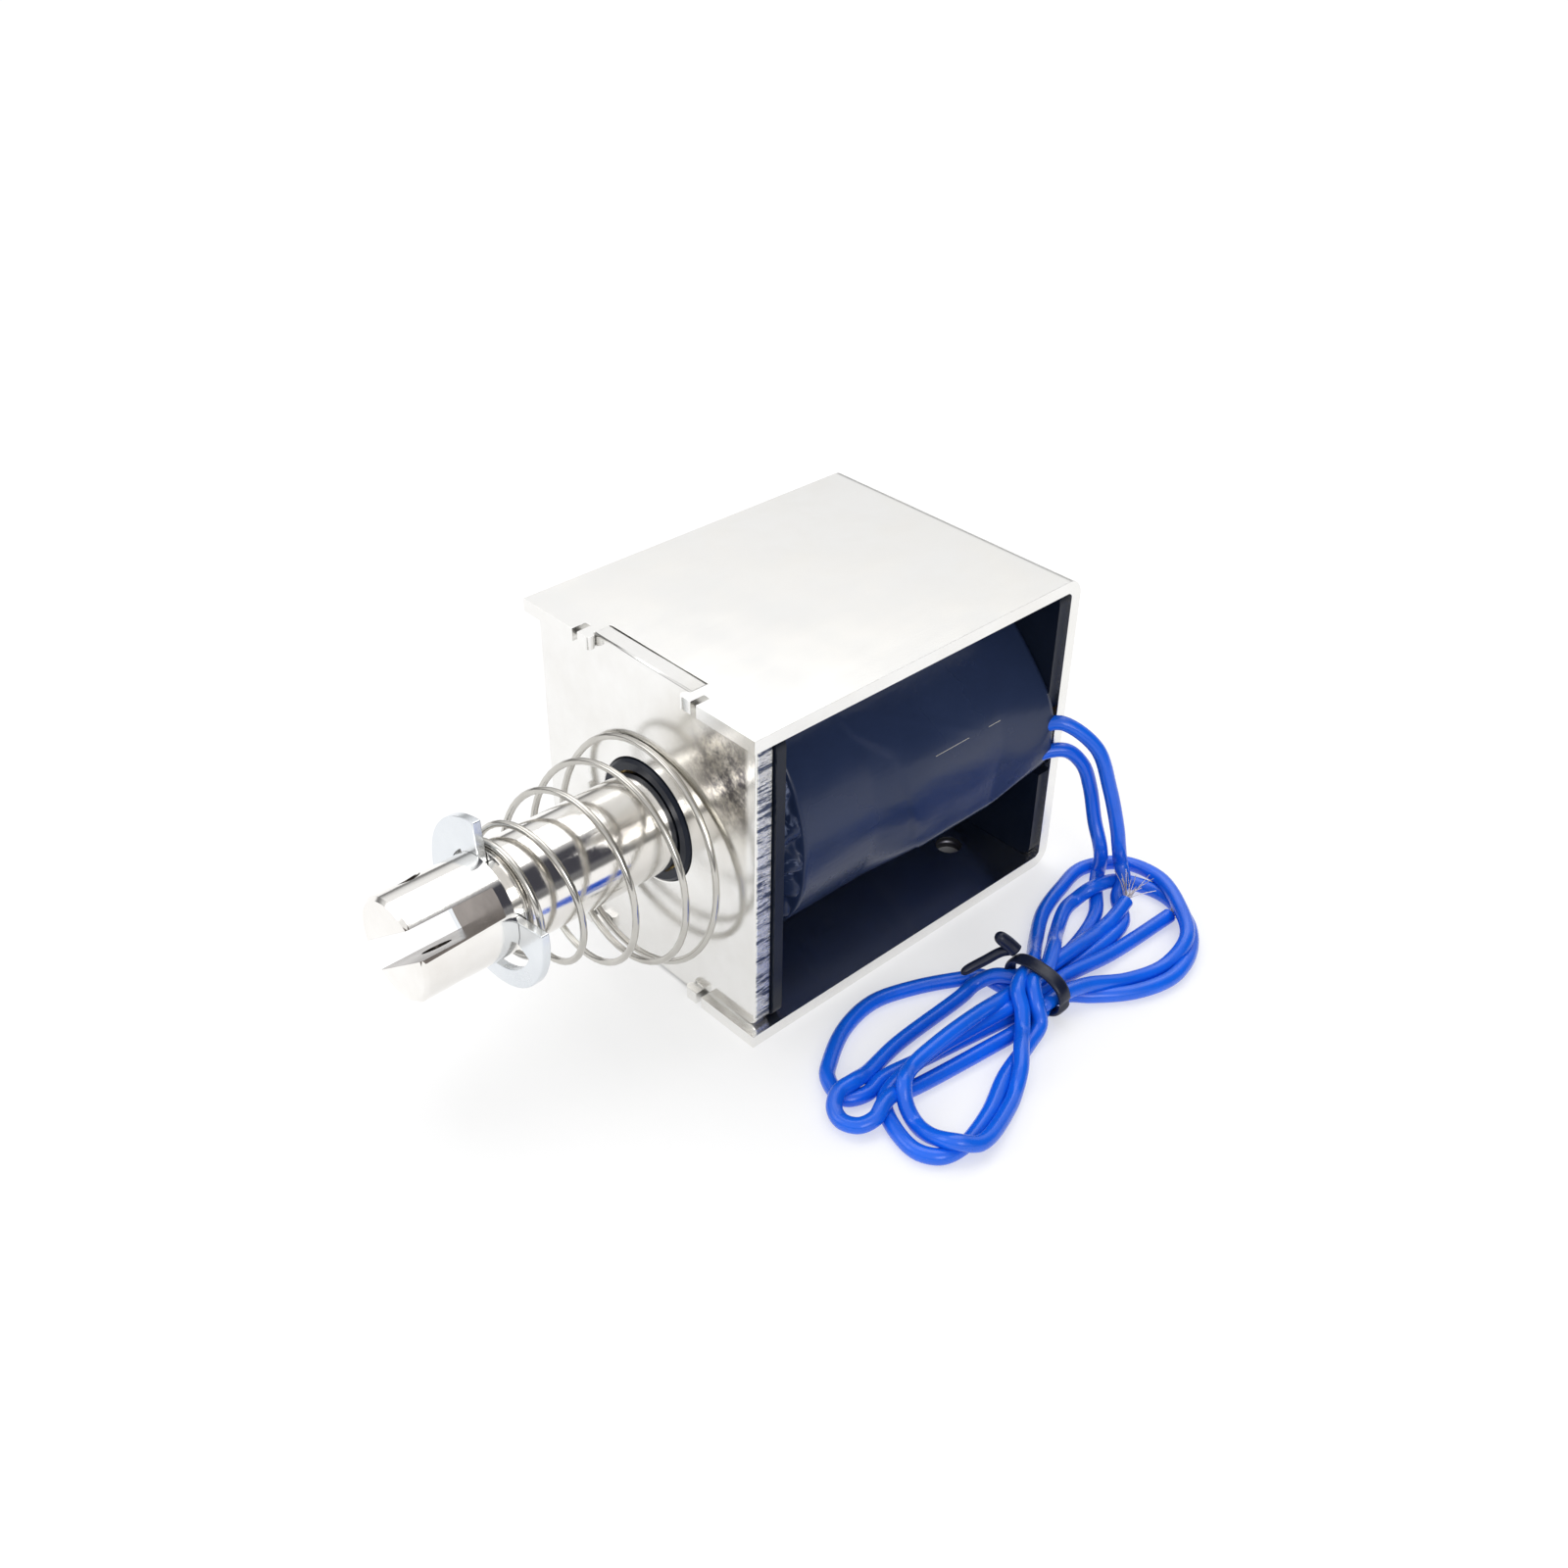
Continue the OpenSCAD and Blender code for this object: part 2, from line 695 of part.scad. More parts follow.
frame();
front_plate();
bobbin();
guide_tube();
core_wrap();
winding();
under_tape();
coil_tape();
fixed_core();
residual_shim();
start_wire();
finish_wire();
joint(joint_turn_a);  // joint_a
joint(joint_turn_b);  // joint_b
sleeve(joint_turn_a);  // sleeve_a
sleeve(joint_turn_b);  // sleeve_b
lead(lead_a_route);  // lead_a
lead(lead_b_route);  // lead_b
lead_hank();
lead_tie();
lead_tip(tip_a_start, tip_a_turn);  // lead_tip_a
lead_tip(tip_b_start, tip_b_turn);  // lead_tip_b
plunger();
retaining_ring();
return_spring();
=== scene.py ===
# An open frame push pull solenoid: plated frame and front plate, taped coil, plunger with
# its snap ring and conical spring, and two blue leads folded into a hank and tied.
import math
import random

import bmesh
import bpy
import numpy as np
from mathutils import Matrix, Vector


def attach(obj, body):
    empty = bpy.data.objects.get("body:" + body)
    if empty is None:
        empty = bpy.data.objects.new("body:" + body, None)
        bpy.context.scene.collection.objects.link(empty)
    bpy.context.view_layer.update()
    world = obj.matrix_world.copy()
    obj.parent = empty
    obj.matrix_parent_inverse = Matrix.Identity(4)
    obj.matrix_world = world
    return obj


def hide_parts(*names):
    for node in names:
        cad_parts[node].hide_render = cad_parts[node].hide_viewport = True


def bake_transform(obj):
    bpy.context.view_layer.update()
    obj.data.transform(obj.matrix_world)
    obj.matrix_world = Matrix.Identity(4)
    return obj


bl_info = {
    "name": "Push pull solenoid",
    "version": (1, 0, 0),
    "blender": (4, 5, 0),
    "location": "3D View > Sidebar > Solenoid",
    "description": "Finishes the frame, coil, plunger, spring and leads of a push pull solenoid",
    "category": "Object",
}

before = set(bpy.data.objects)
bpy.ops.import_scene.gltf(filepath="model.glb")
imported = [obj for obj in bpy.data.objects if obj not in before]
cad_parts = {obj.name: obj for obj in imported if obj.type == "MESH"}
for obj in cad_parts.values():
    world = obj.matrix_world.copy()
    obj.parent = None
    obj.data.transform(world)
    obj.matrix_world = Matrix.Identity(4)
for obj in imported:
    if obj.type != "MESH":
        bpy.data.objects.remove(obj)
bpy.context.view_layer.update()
MM = 0.001

FRAME_BODY = "frame_body"
RING_BODY = "ring_body"
PLUNGER_BODY = "plunger_body"

# Middle of the plunger's axis, height over the floor
AXIS_Z = 26 * MM

# Routes of the two leads, from their sleeves in the coil to their stripped ends, in millimetres
LEAD_A_ROUTE = [
    (-18, 21.5, 32.2), (-24.1, 22.3, 29.2), (-27.2, 23.4, 28.1), (-29.3, 25.9, 28.6),
    (-32.4, 30.4, 24.9), (-33.2, 33.2, 18.7), (-33.6, 35.4, 12.1), (-33.8, 36.1, 8.8),
    (-35.3, 35.9, 4.8), (-34.3, 37.6, 2.7), (-31.9, 38.5, 1.2), (-27.3, 43, 1.2),
    (-14.4, 44.1, 1.2), (-7.7, 43.5, 1.2), (-4.2, 43.5, 1.5), (-2.8, 42.1, 1.2), (-2.7, 39.8, 1.2),
    (-2.1, 36.5, 1.2), (0.8, 34.7, 1.2), (7.1, 31.5, 1.2), (13.7, 29.6, 1.2), (20.5, 30.7, 1.2),
    (26.6, 33.9, 1.2), (29.2, 36.1, 1.2), (30.2, 40.2, 1.2), (27.4, 41.7, 1.2), (23.9, 41.2, 1.2),
    (17, 42.3, 1.2), (3.2, 44.7, 1.2), (-0.1, 45.8, 1.6), (-2.5, 47.8, 3.2), (-5.8, 48.2, 3.4),
    (-10.3, 49.4, 3.2), (-17.4, 51.7, 1.4), (-24.2, 53.3, 1.2), (-29.7, 52.9, 3.1),
    (-35.2, 47.5, 3.1), (-38.8, 41.1, 2.8), (-39.3, 33.7, 1.2), (-33.4, 30.3, 1.2),
    (-26.6, 31.3, 1.2), (-20.2, 33.2, 1.2), (-13.4, 37.3, 1.9), (-6.6, 41.9, 4.8), (0.3, 44.9, 5.9),
    (1.8, 47.2, 4.4), (3.8, 49.1, 3), (6.5, 51.2, 3.2), (9.1, 53.4, 2.5), (11.8, 54.9, 1.2),
    (15, 56.4, 1.2), (23.3, 58.6, 2.2), (26.3, 56.8, 3.2), (27, 53.3, 2), (26.3, 49.8, 1.2),
    (25.7, 47.4, 2.5), (24.4, 45.7, 4.4), (21.5, 44.3, 4.2), (15.1, 44.1, 5.1), (8.1, 44.2, 5.4),
    (-0.9, 43.6, 3.8), (-16, 42.9, 3), (-22.8, 42.2, 1.9), (-25.8, 42.2, 2.6), (-29.9, 41.4, 3.1),
]
LEAD_B_ROUTE = [
    (-18, 20.7, 17.6), (-24.3, 21.9, 20.9), (-28.3, 23.8, 22.7), (-31, 26, 22.9), (-32.9, 28, 20.4),
    (-33.4, 29.6, 16.6), (-32.7, 31.8, 11.7), (-32.3, 33.5, 8.7), (-33.3, 33.5, 5.3),
    (-33.9, 33, 2.1), (-31.4, 34.6, 1.2), (-26, 38.8, 1.2), (-19.8, 41, 1.2), (-13.7, 41.9, 1.2),
    (-10.6, 41.2, 1.2), (-7.2, 41.1, 2.3), (-3.7, 41.5, 3.5), (-2, 39, 3.1), (0.2, 37.3, 1.7),
    (3.4, 37.4, 1.2), (17.3, 37.9, 1.2), (24.7, 39.3, 1.7), (28.2, 40, 2.9), (31, 39.9, 2.7),
    (33, 41.2, 1.9), (33.6, 43.3, 1.6), (32.6, 45.5, 1.8), (30.4, 46.3, 2.3), (28.2, 45.7, 3),
    (26.3, 45.3, 2.9), (22.8, 45.3, 1.5), (8.7, 47, 1.2), (1.6, 47.7, 1.2), (-2.1, 47.6, 1.2),
    (-5.3, 46.9, 1.5), (-8.5, 47.7, 1.2), (-10.8, 50, 1.2), (-16.4, 53.9, 1.2), (-23.1, 55.6, 1.2),
    (-29.7, 53.9, 1.2), (-35, 49.5, 1.2), (-37.5, 43.1, 1.2), (-35.5, 36.6, 1.2),
    (-28.5, 35.8, 3.1), (-26.2, 34.7, 1.4), (-23.4, 35, 1.2), (-17.9, 37.7, 1.3),
    (-11.9, 41.6, 4.3), (-5.6, 45, 5.5), (-2.3, 45.6, 6.1), (-0.6, 47.7, 4.8), (0.2, 49.4, 2.2),
    (3.3, 50.2, 1.2), (11, 52.3, 1.2), (18.1, 55.4, 1.2), (25.1, 56.9, 1.2), (28.3, 56, 1.2),
    (29.9, 53, 1.2), (28.2, 46.5, 1.2), (26, 43.9, 1.2), (22.9, 43.2, 1.8), (16.4, 43.3, 3),
    (9.4, 44, 3.2), (-4.9, 46, 3.6), (-8.8, 45.6, 2.7), (-12.7, 45.8, 2.3), (-20.2, 46.2, 1.2),
    (-34.1, 46.8, 1.2),
]
TIE_X = -4 * MM
TIE_Y = 45 * MM


class SolenoidStage(bpy.types.PropertyGroup):
    lens: bpy.props.FloatProperty(
        name="Lens", description="Focal length of the camera", default=38.7, min=10, unit="CAMERA")
    light: bpy.props.FloatProperty(
        name="Light", description="Strength of the large overhead light", default=1.0, min=0)
    floor: bpy.props.FloatVectorProperty(
        name="Floor", description="Colour of the floor", subtype="COLOR", default=(0.5, 0.5, 0.5))


class SolenoidLeads(bpy.types.PropertyGroup):
    diameter: bpy.props.FloatProperty(
        name="Diameter", description="Diameter of each lead over its insulation",
        default=2.3 * MM, min=0.001, unit="LENGTH")
    strand: bpy.props.FloatProperty(
        name="Strand", description="Diameter of one tinned copper strand",
        default=0.12 * MM, min=0.00001, unit="LENGTH")
    colour: bpy.props.FloatVectorProperty(
        name="Colour", description="Colour of the insulation", subtype="COLOR",
        default=(0.004, 0.135, 0.84))


class SolenoidSpring(bpy.types.PropertyGroup):
    wire: bpy.props.FloatProperty(
        name="Wire", description="Diameter of the spring wire", default=1.0 * MM,
        min=0.0001, unit="LENGTH")
    small_radius: bpy.props.FloatProperty(
        name="Small end", description="Middle radius of the coil at the ring", default=8.6 * MM,
        min=0.001, unit="LENGTH")
    large_radius: bpy.props.FloatProperty(
        name="Large end", description="Middle radius of the coil on the front plate",
        default=16.6 * MM, min=0.001, unit="LENGTH")


class SolenoidMetal(bpy.types.PropertyGroup):
    edge: bpy.props.FloatProperty(
        name="Edge", description="Rounding of the sheared and turned edges", default=0.18 * MM,
        min=0, unit="LENGTH")
    roll: bpy.props.FloatProperty(
        name="Roll-over", description="Rounding of the punched front plate's edges",
        default=0.35 * MM, min=0, unit="LENGTH")
    bar_edge: bpy.props.FloatProperty(
        name="Bar edge", description="Rounding of the plunger's edges", default=0.32 * MM, min=0,
        unit="LENGTH")
    nickel: bpy.props.FloatVectorProperty(
        name="Nickel", description="Colour of the frame's bright plating", subtype="COLOR",
        default=(0.87, 0.865, 0.85))


class SolenoidCoil(bpy.types.PropertyGroup):
    tape: bpy.props.FloatVectorProperty(
        name="Tape", description="Colour of the coil's tape", subtype="COLOR",
        default=(0.016, 0.027, 0.068))
    crumple: bpy.props.FloatProperty(
        name="Crumple", description="Height of the tape's creases", default=0.35 * MM, min=0,
        unit="LENGTH")

# ---- Shader helpers ----

def material(name):
    mat = bpy.data.materials.new(name)
    mat.use_nodes = True
    tree = mat.node_tree
    return mat, tree, tree.nodes["Principled BSDF"]


def put(tree, value, socket):
    """Set an input to a value, or link it when the value is another node's output."""
    if isinstance(value, bpy.types.NodeSocket):
        tree.links.new(value, socket)
    elif hasattr(value, "__len__"):
        socket.default_value = (*value, 1)
    else:
        socket.default_value = value


def lead_to(tree, target, **values):
    """Lead each output to the target's input of that name."""
    for name, value in values.items():
        tree.links.new(value, target.inputs[name.replace("_", " ")])


def new_group(name, inputs, outputs):
    group = bpy.data.node_groups.new(name, "ShaderNodeTree")
    for label, kind, value in inputs:
        group.interface.new_socket(label, in_out="INPUT", socket_type=kind).default_value = value
    for label, kind in outputs:
        group.interface.new_socket(label, in_out="OUTPUT", socket_type=kind)
    return group, group.nodes.new("NodeGroupInput"), group.nodes.new("NodeGroupOutput")


def grey_ramp(tree, stops, source):
    made = tree.nodes.new("ShaderNodeValToRGB")
    band = made.color_ramp
    while len(band.elements) < len(stops):
        band.elements.new(0.5)
    for element, (at, value) in zip(band.elements, stops):
        element.position = at
        element.color = (value, value, value, 1)
    tree.links.new(source, made.inputs["Fac"])
    return made.outputs["Color"]


def coordinates(tree, output="Object"):
    """The X, Y and Z of a texture coordinate, each as its own output."""
    where = tree.nodes.new("ShaderNodeTexCoord")
    parts = tree.nodes.new("ShaderNodeSeparateXYZ")
    tree.links.new(where.outputs[output], parts.inputs[0])
    return parts.outputs


def spots(tree, scale, detail=4.0, rough=0.5, stretch=(1, 1, 1), distortion=0.0):
    """A noise over object coordinates, stretched along its axes."""
    where = tree.nodes.new("ShaderNodeTexCoord")
    fit = tree.nodes.new("ShaderNodeMapping")
    fit.inputs["Scale"].default_value = stretch
    tree.links.new(where.outputs["Object"], fit.inputs["Vector"])
    made = tree.nodes.new("ShaderNodeTexNoise")
    put(tree, scale, made.inputs["Scale"])
    made.inputs["Detail"].default_value = detail
    made.inputs["Roughness"].default_value = rough
    made.inputs["Distortion"].default_value = distortion
    tree.links.new(fit.outputs["Vector"], made.inputs["Vector"])
    return made.outputs["Fac"]


def waves(tree, scale, direction="X"):
    """Even bands over object coordinates."""
    where = tree.nodes.new("ShaderNodeTexCoord")
    made = tree.nodes.new("ShaderNodeTexWave")
    made.bands_direction = direction
    made.inputs["Scale"].default_value = scale
    tree.links.new(where.outputs["Object"], made.inputs["Vector"])
    return made.outputs["Fac"]


def span(tree, source, low, high, to_low=0.0, to_high=1.0):
    """A value moved from one range to another, and held within it."""
    made = tree.nodes.new("ShaderNodeMapRange")
    for label, value in (("Value", source), ("From Min", low), ("From Max", high),
                         ("To Min", to_low), ("To Max", to_high)):
        put(tree, value, made.inputs[label])
    return made.outputs["Result"]


def maths(tree, kind, first, second=0):
    made = tree.nodes.new("ShaderNodeMath")
    made.operation = kind
    put(tree, first, made.inputs[0])
    put(tree, second, made.inputs[1])
    return made.outputs[0]


def mixed(tree, amount, first, second):
    """A colour between two others."""
    made = tree.nodes.new("ShaderNodeMix")
    made.data_type = "RGBA"
    for value, place in ((amount, 0), (first, 6), (second, 7)):
        put(tree, value, made.inputs[place])
    return made.outputs[2]


def bumped(tree, height, distance, normal=None):
    made = tree.nodes.new("ShaderNodeBump")
    made.inputs["Distance"].default_value = distance
    made.inputs["Strength"].default_value = 1.0
    tree.links.new(height, made.inputs["Height"])
    if normal is not None:
        tree.links.new(normal, made.inputs["Normal"])
    return made.outputs["Normal"]


# ---- Shape helpers ----

def smooth_path(points, per_span=8):
    """Points of a centripetal Catmull-Rom curve through the given points."""
    p = np.array(points, float)
    p = np.vstack([2 * p[0] - p[1], p, 2 * p[-1] - p[-2]])
    made = []
    for p0, p1, p2, p3 in zip(p[:-3], p[1:-2], p[2:-1], p[3:]):
        t1 = np.linalg.norm(p1 - p0) ** 0.5
        t2 = t1 + np.linalg.norm(p2 - p1) ** 0.5
        t3 = t2 + np.linalg.norm(p3 - p2) ** 0.5
        for t in np.linspace(t1, t2, per_span, endpoint=False):
            a1 = (t1 - t) / t1 * p0 + t / t1 * p1
            a2 = (t2 - t) / (t2 - t1) * p1 + (t - t1) / (t2 - t1) * p2
            a3 = (t3 - t) / (t3 - t2) * p2 + (t - t2) / (t3 - t2) * p3
            b1 = (t2 - t) / t2 * a1 + t / t2 * a2
            b2 = (t3 - t) / (t3 - t1) * a2 + (t - t1) / (t3 - t1) * a3
            made.append((t2 - t) / (t2 - t1) * b1 + (t - t1) / (t2 - t1) * b2)
    return np.array(made + [p[-2]])


def new_object(name, data):
    made = bpy.data.objects.new(name, data)
    bpy.context.scene.collection.objects.link(made)
    return made


def mesh_object(name, verts, faces, mat, smooth=True):
    data = bpy.data.meshes.new(name)
    data.from_pydata([tuple(v) for v in verts], [], faces)
    data.validate()
    data.materials.append(mat)
    data.polygons.foreach_set("use_smooth", [smooth] * len(data.polygons))
    return new_object(name, data)


def shaded_smooth(obj):
    obj.data.polygons.foreach_set("use_smooth", [True] * len(obj.data.polygons))
    return obj


def carried_sides(path, first):
    """A direction square to the path at each of its points, carried along without twist."""
    t = np.gradient(path, axis=0)
    t /= np.linalg.norm(t, axis=1)[:, None]
    sides = []
    side = np.array(first, float)
    for along in t:
        side = side - along * (side @ along)
        side /= np.linalg.norm(side)
        sides.append(side)
    return t, np.array(sides)


def swept(path, outline, first, scale=None, closed=False):
    """Vertices and faces of an outline carried along a path, capped unless the path closes."""
    path = np.array(path, float)
    t, u = carried_sides(path, first)
    if closed:
        t[0] = t[-1] = path[1] - path[-1]
    v = np.cross(t, u)
    n, m = len(path), len(outline)
    scale = np.ones(n) if scale is None else scale
    verts = [p + k * (a * x + b * y) for p, a, b, k in zip(path, u, v, scale) for x, y in outline]
    faces = []
    for i in range(n if closed else n - 1):
        for j in range(m):
            a, b = i * m + j, i * m + (j + 1) % m
            c, d = (i + 1) % n * m + (j + 1) % m, (i + 1) % n * m + j
            faces.append((a, b, c, d))
    if not closed:
        faces += [tuple(range(m - 1, -1, -1)), tuple((n - 1) * m + j for j in range(m))]
    return verts, faces


def circle(radius, sides):
    return [(radius * math.cos(a), radius * math.sin(a))
            for a in np.linspace(0, 2 * math.pi, sides, endpoint=False)]


def joined(parts):
    """Vertices and faces of several shapes together."""
    verts, faces = [], []
    for v, f in parts:
        faces += [tuple(i + len(verts) for i in face) for face in f]
        verts += list(v)
    return verts, faces


def outward(obj):
    bm = bmesh.new()
    bm.from_mesh(obj.data)
    bmesh.ops.recalc_face_normals(bm, faces=bm.faces)
    bm.to_mesh(obj.data)
    bm.free()
    return obj


def evaluated_mesh(obj):
    bpy.context.view_layer.update()
    depsgraph = bpy.context.evaluated_depsgraph_get()
    return bpy.data.meshes.new_from_object(obj.evaluated_get(depsgraph))


def baked(obj):
    """The object with its modifiers applied."""
    data = evaluated_mesh(obj)
    obj.modifiers.clear()
    obj.data = data
    return obj


FACET_ANGLE, SHARP_ANGLE = math.radians(0.6), math.radians(30)
WELD = 1e-6


def welded(data):
    """A mesh opened for editing, with the points that lie together merged."""
    bm = bmesh.new()
    bm.from_mesh(data)
    bmesh.ops.remove_doubles(bm, verts=bm.verts, dist=WELD)
    return bm


def edged_copy(name, cad_node, edge, mat, inner, is_inner):
    """A copy of a CAD node with its sharp edges rounded, and a second finish on some faces."""
    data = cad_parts[cad_node].data.copy()
    data.materials.clear()
    for finish_used in (mat, inner):
        data.materials.append(finish_used)
    bm = welded(data)
    bmesh.ops.dissolve_limit(bm, angle_limit=FACET_ANGLE, verts=bm.verts, edges=bm.edges)
    for e in bm.edges:
        e.smooth = len(e.link_faces) == 2 and e.calc_face_angle(0) < SHARP_ANGLE
    for f in bm.faces:
        f.smooth = True
        if is_inner(f.calc_center_median(), f.normal):
            f.material_index = 1
    bm.to_mesh(data)
    bm.free()
    made = new_object(name, data)
    if edge > 0:
        bevel = edge_bevel(made, edge, SHARP_ANGLE)
        bevel.harden_normals = True
        bevel.use_clamp_overlap = True
        baked(made)
    return made


def edge_bevel(obj, width, angle):
    """Round the edges sharper than an angle."""
    bevel = obj.modifiers.new("Edge", "BEVEL")
    bevel.width = width
    bevel.segments = 2
    bevel.limit_method = "ANGLE"
    bevel.angle_limit = angle
    return bevel


def wires_from(name, lines, radius, sides, mat):
    """Round wires along several lines, as one mesh."""
    verts, edges = [], []
    for line in lines:
        edges += [(len(verts) + i, len(verts) + i + 1) for i in range(len(line) - 1)]
        verts += [tuple(p) for p in line]
    made = new_object(name, bpy.data.meshes.new(name))
    made.data.from_pydata(verts, edges, [])
    swept_by_nodes(made, radius, sides, mat)
    return shaded_smooth(baked(made))


def swept_by_nodes(obj, radius, sides, mat):
    """Sweep a round section along an object's lines with geometry nodes."""
    tree = bpy.data.node_groups.new("Wire along line", "GeometryNodeTree")
    values = {}
    for label, kind, value in (("Geometry", "Geometry", None), ("Radius", "Float", radius),
                               ("Sides", "Int", sides), ("Material", "Material", mat)):
        socket = tree.interface.new_socket(
            label, in_out="INPUT", socket_type=f"NodeSocket{kind}")
        if value is not None:
            values[socket.identifier] = value
    tree.interface.new_socket("Geometry", in_out="OUTPUT", socket_type="NodeSocketGeometry")
    given, out = tree.nodes.new("NodeGroupInput"), tree.nodes.new("NodeGroupOutput")
    line = tree.nodes.new("GeometryNodeMeshToCurve")
    ring = tree.nodes.new("GeometryNodeCurvePrimitiveCircle")
    sweep = tree.nodes.new("GeometryNodeCurveToMesh")
    sweep.inputs["Fill Caps"].default_value = True
    real = tree.nodes.new("GeometryNodeRealizeInstances")
    coat = tree.nodes.new("GeometryNodeSetMaterial")
    link = tree.links.new
    link(given.outputs["Geometry"], line.inputs["Mesh"])
    link(given.outputs["Radius"], ring.inputs["Radius"])
    link(given.outputs["Sides"], ring.inputs["Resolution"])
    link(line.outputs["Curve"], sweep.inputs["Curve"])
    link(ring.outputs["Curve"], sweep.inputs["Profile Curve"])
    link(sweep.outputs["Mesh"], real.inputs["Geometry"])
    link(real.outputs["Geometry"], coat.inputs["Geometry"])
    link(given.outputs["Material"], coat.inputs["Material"])
    link(coat.outputs["Geometry"], out.inputs["Geometry"])
    sweeping = obj.modifiers.new("Wire", "NODES")
    sweeping.node_group = tree
    for identifier, value in values.items():
        sweeping[identifier] = value


def finish_piece(obj, body, slot, *nodes):
    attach(obj, body)
    if nodes:
        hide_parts(*nodes)
    return obj


# ---- Stage ----

CAMERA_PLACE = (147.98 * MM, 150.09 * MM, 168.11 * MM)
CAMERA_AXES = (
    (-0.728898, -0.388848, 0.563475),
    (0.684449, -0.43236, 0.587021),
    (0.015362, 0.813549, 0.581293),
)
SENSOR_WIDTH = 36
CLIP_START = 0.01

FLOOR_HALF = 3.0
FLOOR_Z = -0.02 * MM
FLOOR_GLOW = 0.5
# Painted shade: the floor's glow is cut off beneath this much of the frame, half its length and
# half its width, so the floor seen through its holes is dark
PAINTED_SHADE_X, PAINTED_SHADE_Y, PAINTED_SHADE_BLEND = 30 * MM, 22 * MM, 1 * MM

# Name, place, point aimed at, power and width of each light
LIGHTS = (
    ("Overhead", (-0.25, -0.3, 0.85), (0, 0, 0), 3.6, 0.9),
    ("Front left", (0.7, -0.45, 0.5), (0.03, 0, 0.03), 1.2, 0.5),
    ("Lead side", (0.4, 0.75, 0.5), (0, 0, 0.02), 1.8, 0.4),
)

# Brightness of the room from the floor up to the ceiling
ROOM = ((0.0, 0.6), (0.49, 0.6), (0.51, 0.22), (0.56, 0.26), (0.62, 0.75), (0.7, 0.97),
        (0.85, 0.97), (1.0, 0.8))
DARK_SIDE = (-0.57, 0.62, 0.54)
DARK_EDGE = (0.8, 0.93)
DARK_COLOUR = (0.06, 0.06, 0.075)
BACKDROP = (0.93, 0.93, 0.93)


class SOLENOID_OT_stage(bpy.types.Operator):
    """Make the camera, the floor and the studio light"""
    bl_idname = "solenoid.stage"
    bl_label = "Stage"

    def execute(self, context):
        settings = context.scene.solenoid_stage
        scene = context.scene
        camera = bpy.data.cameras.new("Camera")
        camera.sensor_width = SENSOR_WIDTH
        camera.lens = settings.lens
        camera.clip_start = CLIP_START
        eye = new_object("Camera", camera)
        eye.matrix_world = Matrix.Translation(CAMERA_PLACE) @ Matrix(CAMERA_AXES).to_4x4()
        scene.camera = eye

        scene.view_settings.view_transform = "Standard"
        scene.view_settings.look = "None"
        corners = [(x * FLOOR_HALF, y * FLOOR_HALF, 0)
                   for x, y in ((-1, -1), (1, -1), (1, 1), (-1, 1))]
        floor = mesh_object("Floor", corners, [(0, 1, 2, 3)], floor_paper(settings.floor),
                            smooth=False)
        floor.location.z = FLOOR_Z

        for name, place, aim, power, width in LIGHTS:
            light = bpy.data.lights.new(name, "AREA")
            light.energy = power * settings.light
            light.size = width
            lamp = new_object(name, light)
            lamp.location = place
            lamp.rotation_euler = (Vector(place) - Vector(aim)).to_track_quat("Z", "Y").to_euler()
        studio_world(scene)
        return {"FINISHED"}


def floor_paper(colour):
    mat, tree, shader = material("Floor paper")
    put(tree, colour, shader.inputs["Base Color"])
    shader.inputs["Roughness"].default_value = 0.9
    shader.inputs["Specular IOR Level"].default_value = 0.1
    place = coordinates(tree)
    # Painted shade: the glow stops beneath the frame, darkening the floor seen through its holes
    beyond = maths(tree, "MAXIMUM", *(
        maths(tree, "SUBTRACT", maths(tree, "ABSOLUTE", place[axis]), edge)
        for axis, edge in (("X", PAINTED_SHADE_X), ("Y", PAINTED_SHADE_Y))))
    glow_with_painted_shade = mixed(tree, span(tree, beyond, 0, PAINTED_SHADE_BLEND), (0, 0, 0), (1, 1, 1))
    lead_to(tree, shader, Emission_Color=glow_with_painted_shade)
    shader.inputs["Emission Strength"].default_value = FLOOR_GLOW
    return mat


def studio_world(scene):
    """Bright walls, a softer ceiling, a darker band at the room's furniture and one dark side."""
    world = bpy.data.worlds.new("Studio")
    world.use_nodes = True
    scene.world = world
    tree = world.node_tree
    colour = grey_ramp(tree, ROOM, span(tree, coordinates(tree, "Generated")["Z"], -1, 1))
    where = tree.nodes.new("ShaderNodeTexCoord")
    toward = tree.nodes.new("ShaderNodeVectorMath")
    toward.operation = "DOT_PRODUCT"
    toward.inputs[1].default_value = DARK_SIDE
    tree.links.new(where.outputs["Generated"], toward.inputs[0])
    lit = mixed(tree, span(tree, toward.outputs["Value"], *DARK_EDGE), colour, DARK_COLOUR)
    ray = tree.nodes.new("ShaderNodeLightPath")
    lead_to(tree, tree.nodes["Background"],
            Color=mixed(tree, ray.outputs["Is Camera Ray"], lit, BACKDROP))


# ---- Leads ----

# Each lead with its route, how far its strands spread, and how far they reach
LEADS = (("a", LEAD_A_ROUTE, 0.8, 5.2 * MM), ("b", LEAD_B_ROUTE, 1.1, 3.0 * MM))
STRANDS, STRAND_SIDES = 18, 6


def lead_curve(name, route, diameter, mat):
    data = bpy.data.curves.new(name, "CURVE")
    data.dimensions = "3D"
    path = smooth_path(route) * MM
    spline = data.splines.new("POLY")
    spline.points.add(len(path) - 1)
    for point, place in zip(spline.points, path):
        point.co = (*place, 1)
    data.bevel_depth = diameter / 2
    data.bevel_resolution = 5
    data.use_fill_caps = True
    data.materials.append(mat)
    spline.use_smooth = True
    return new_object(name, data), path


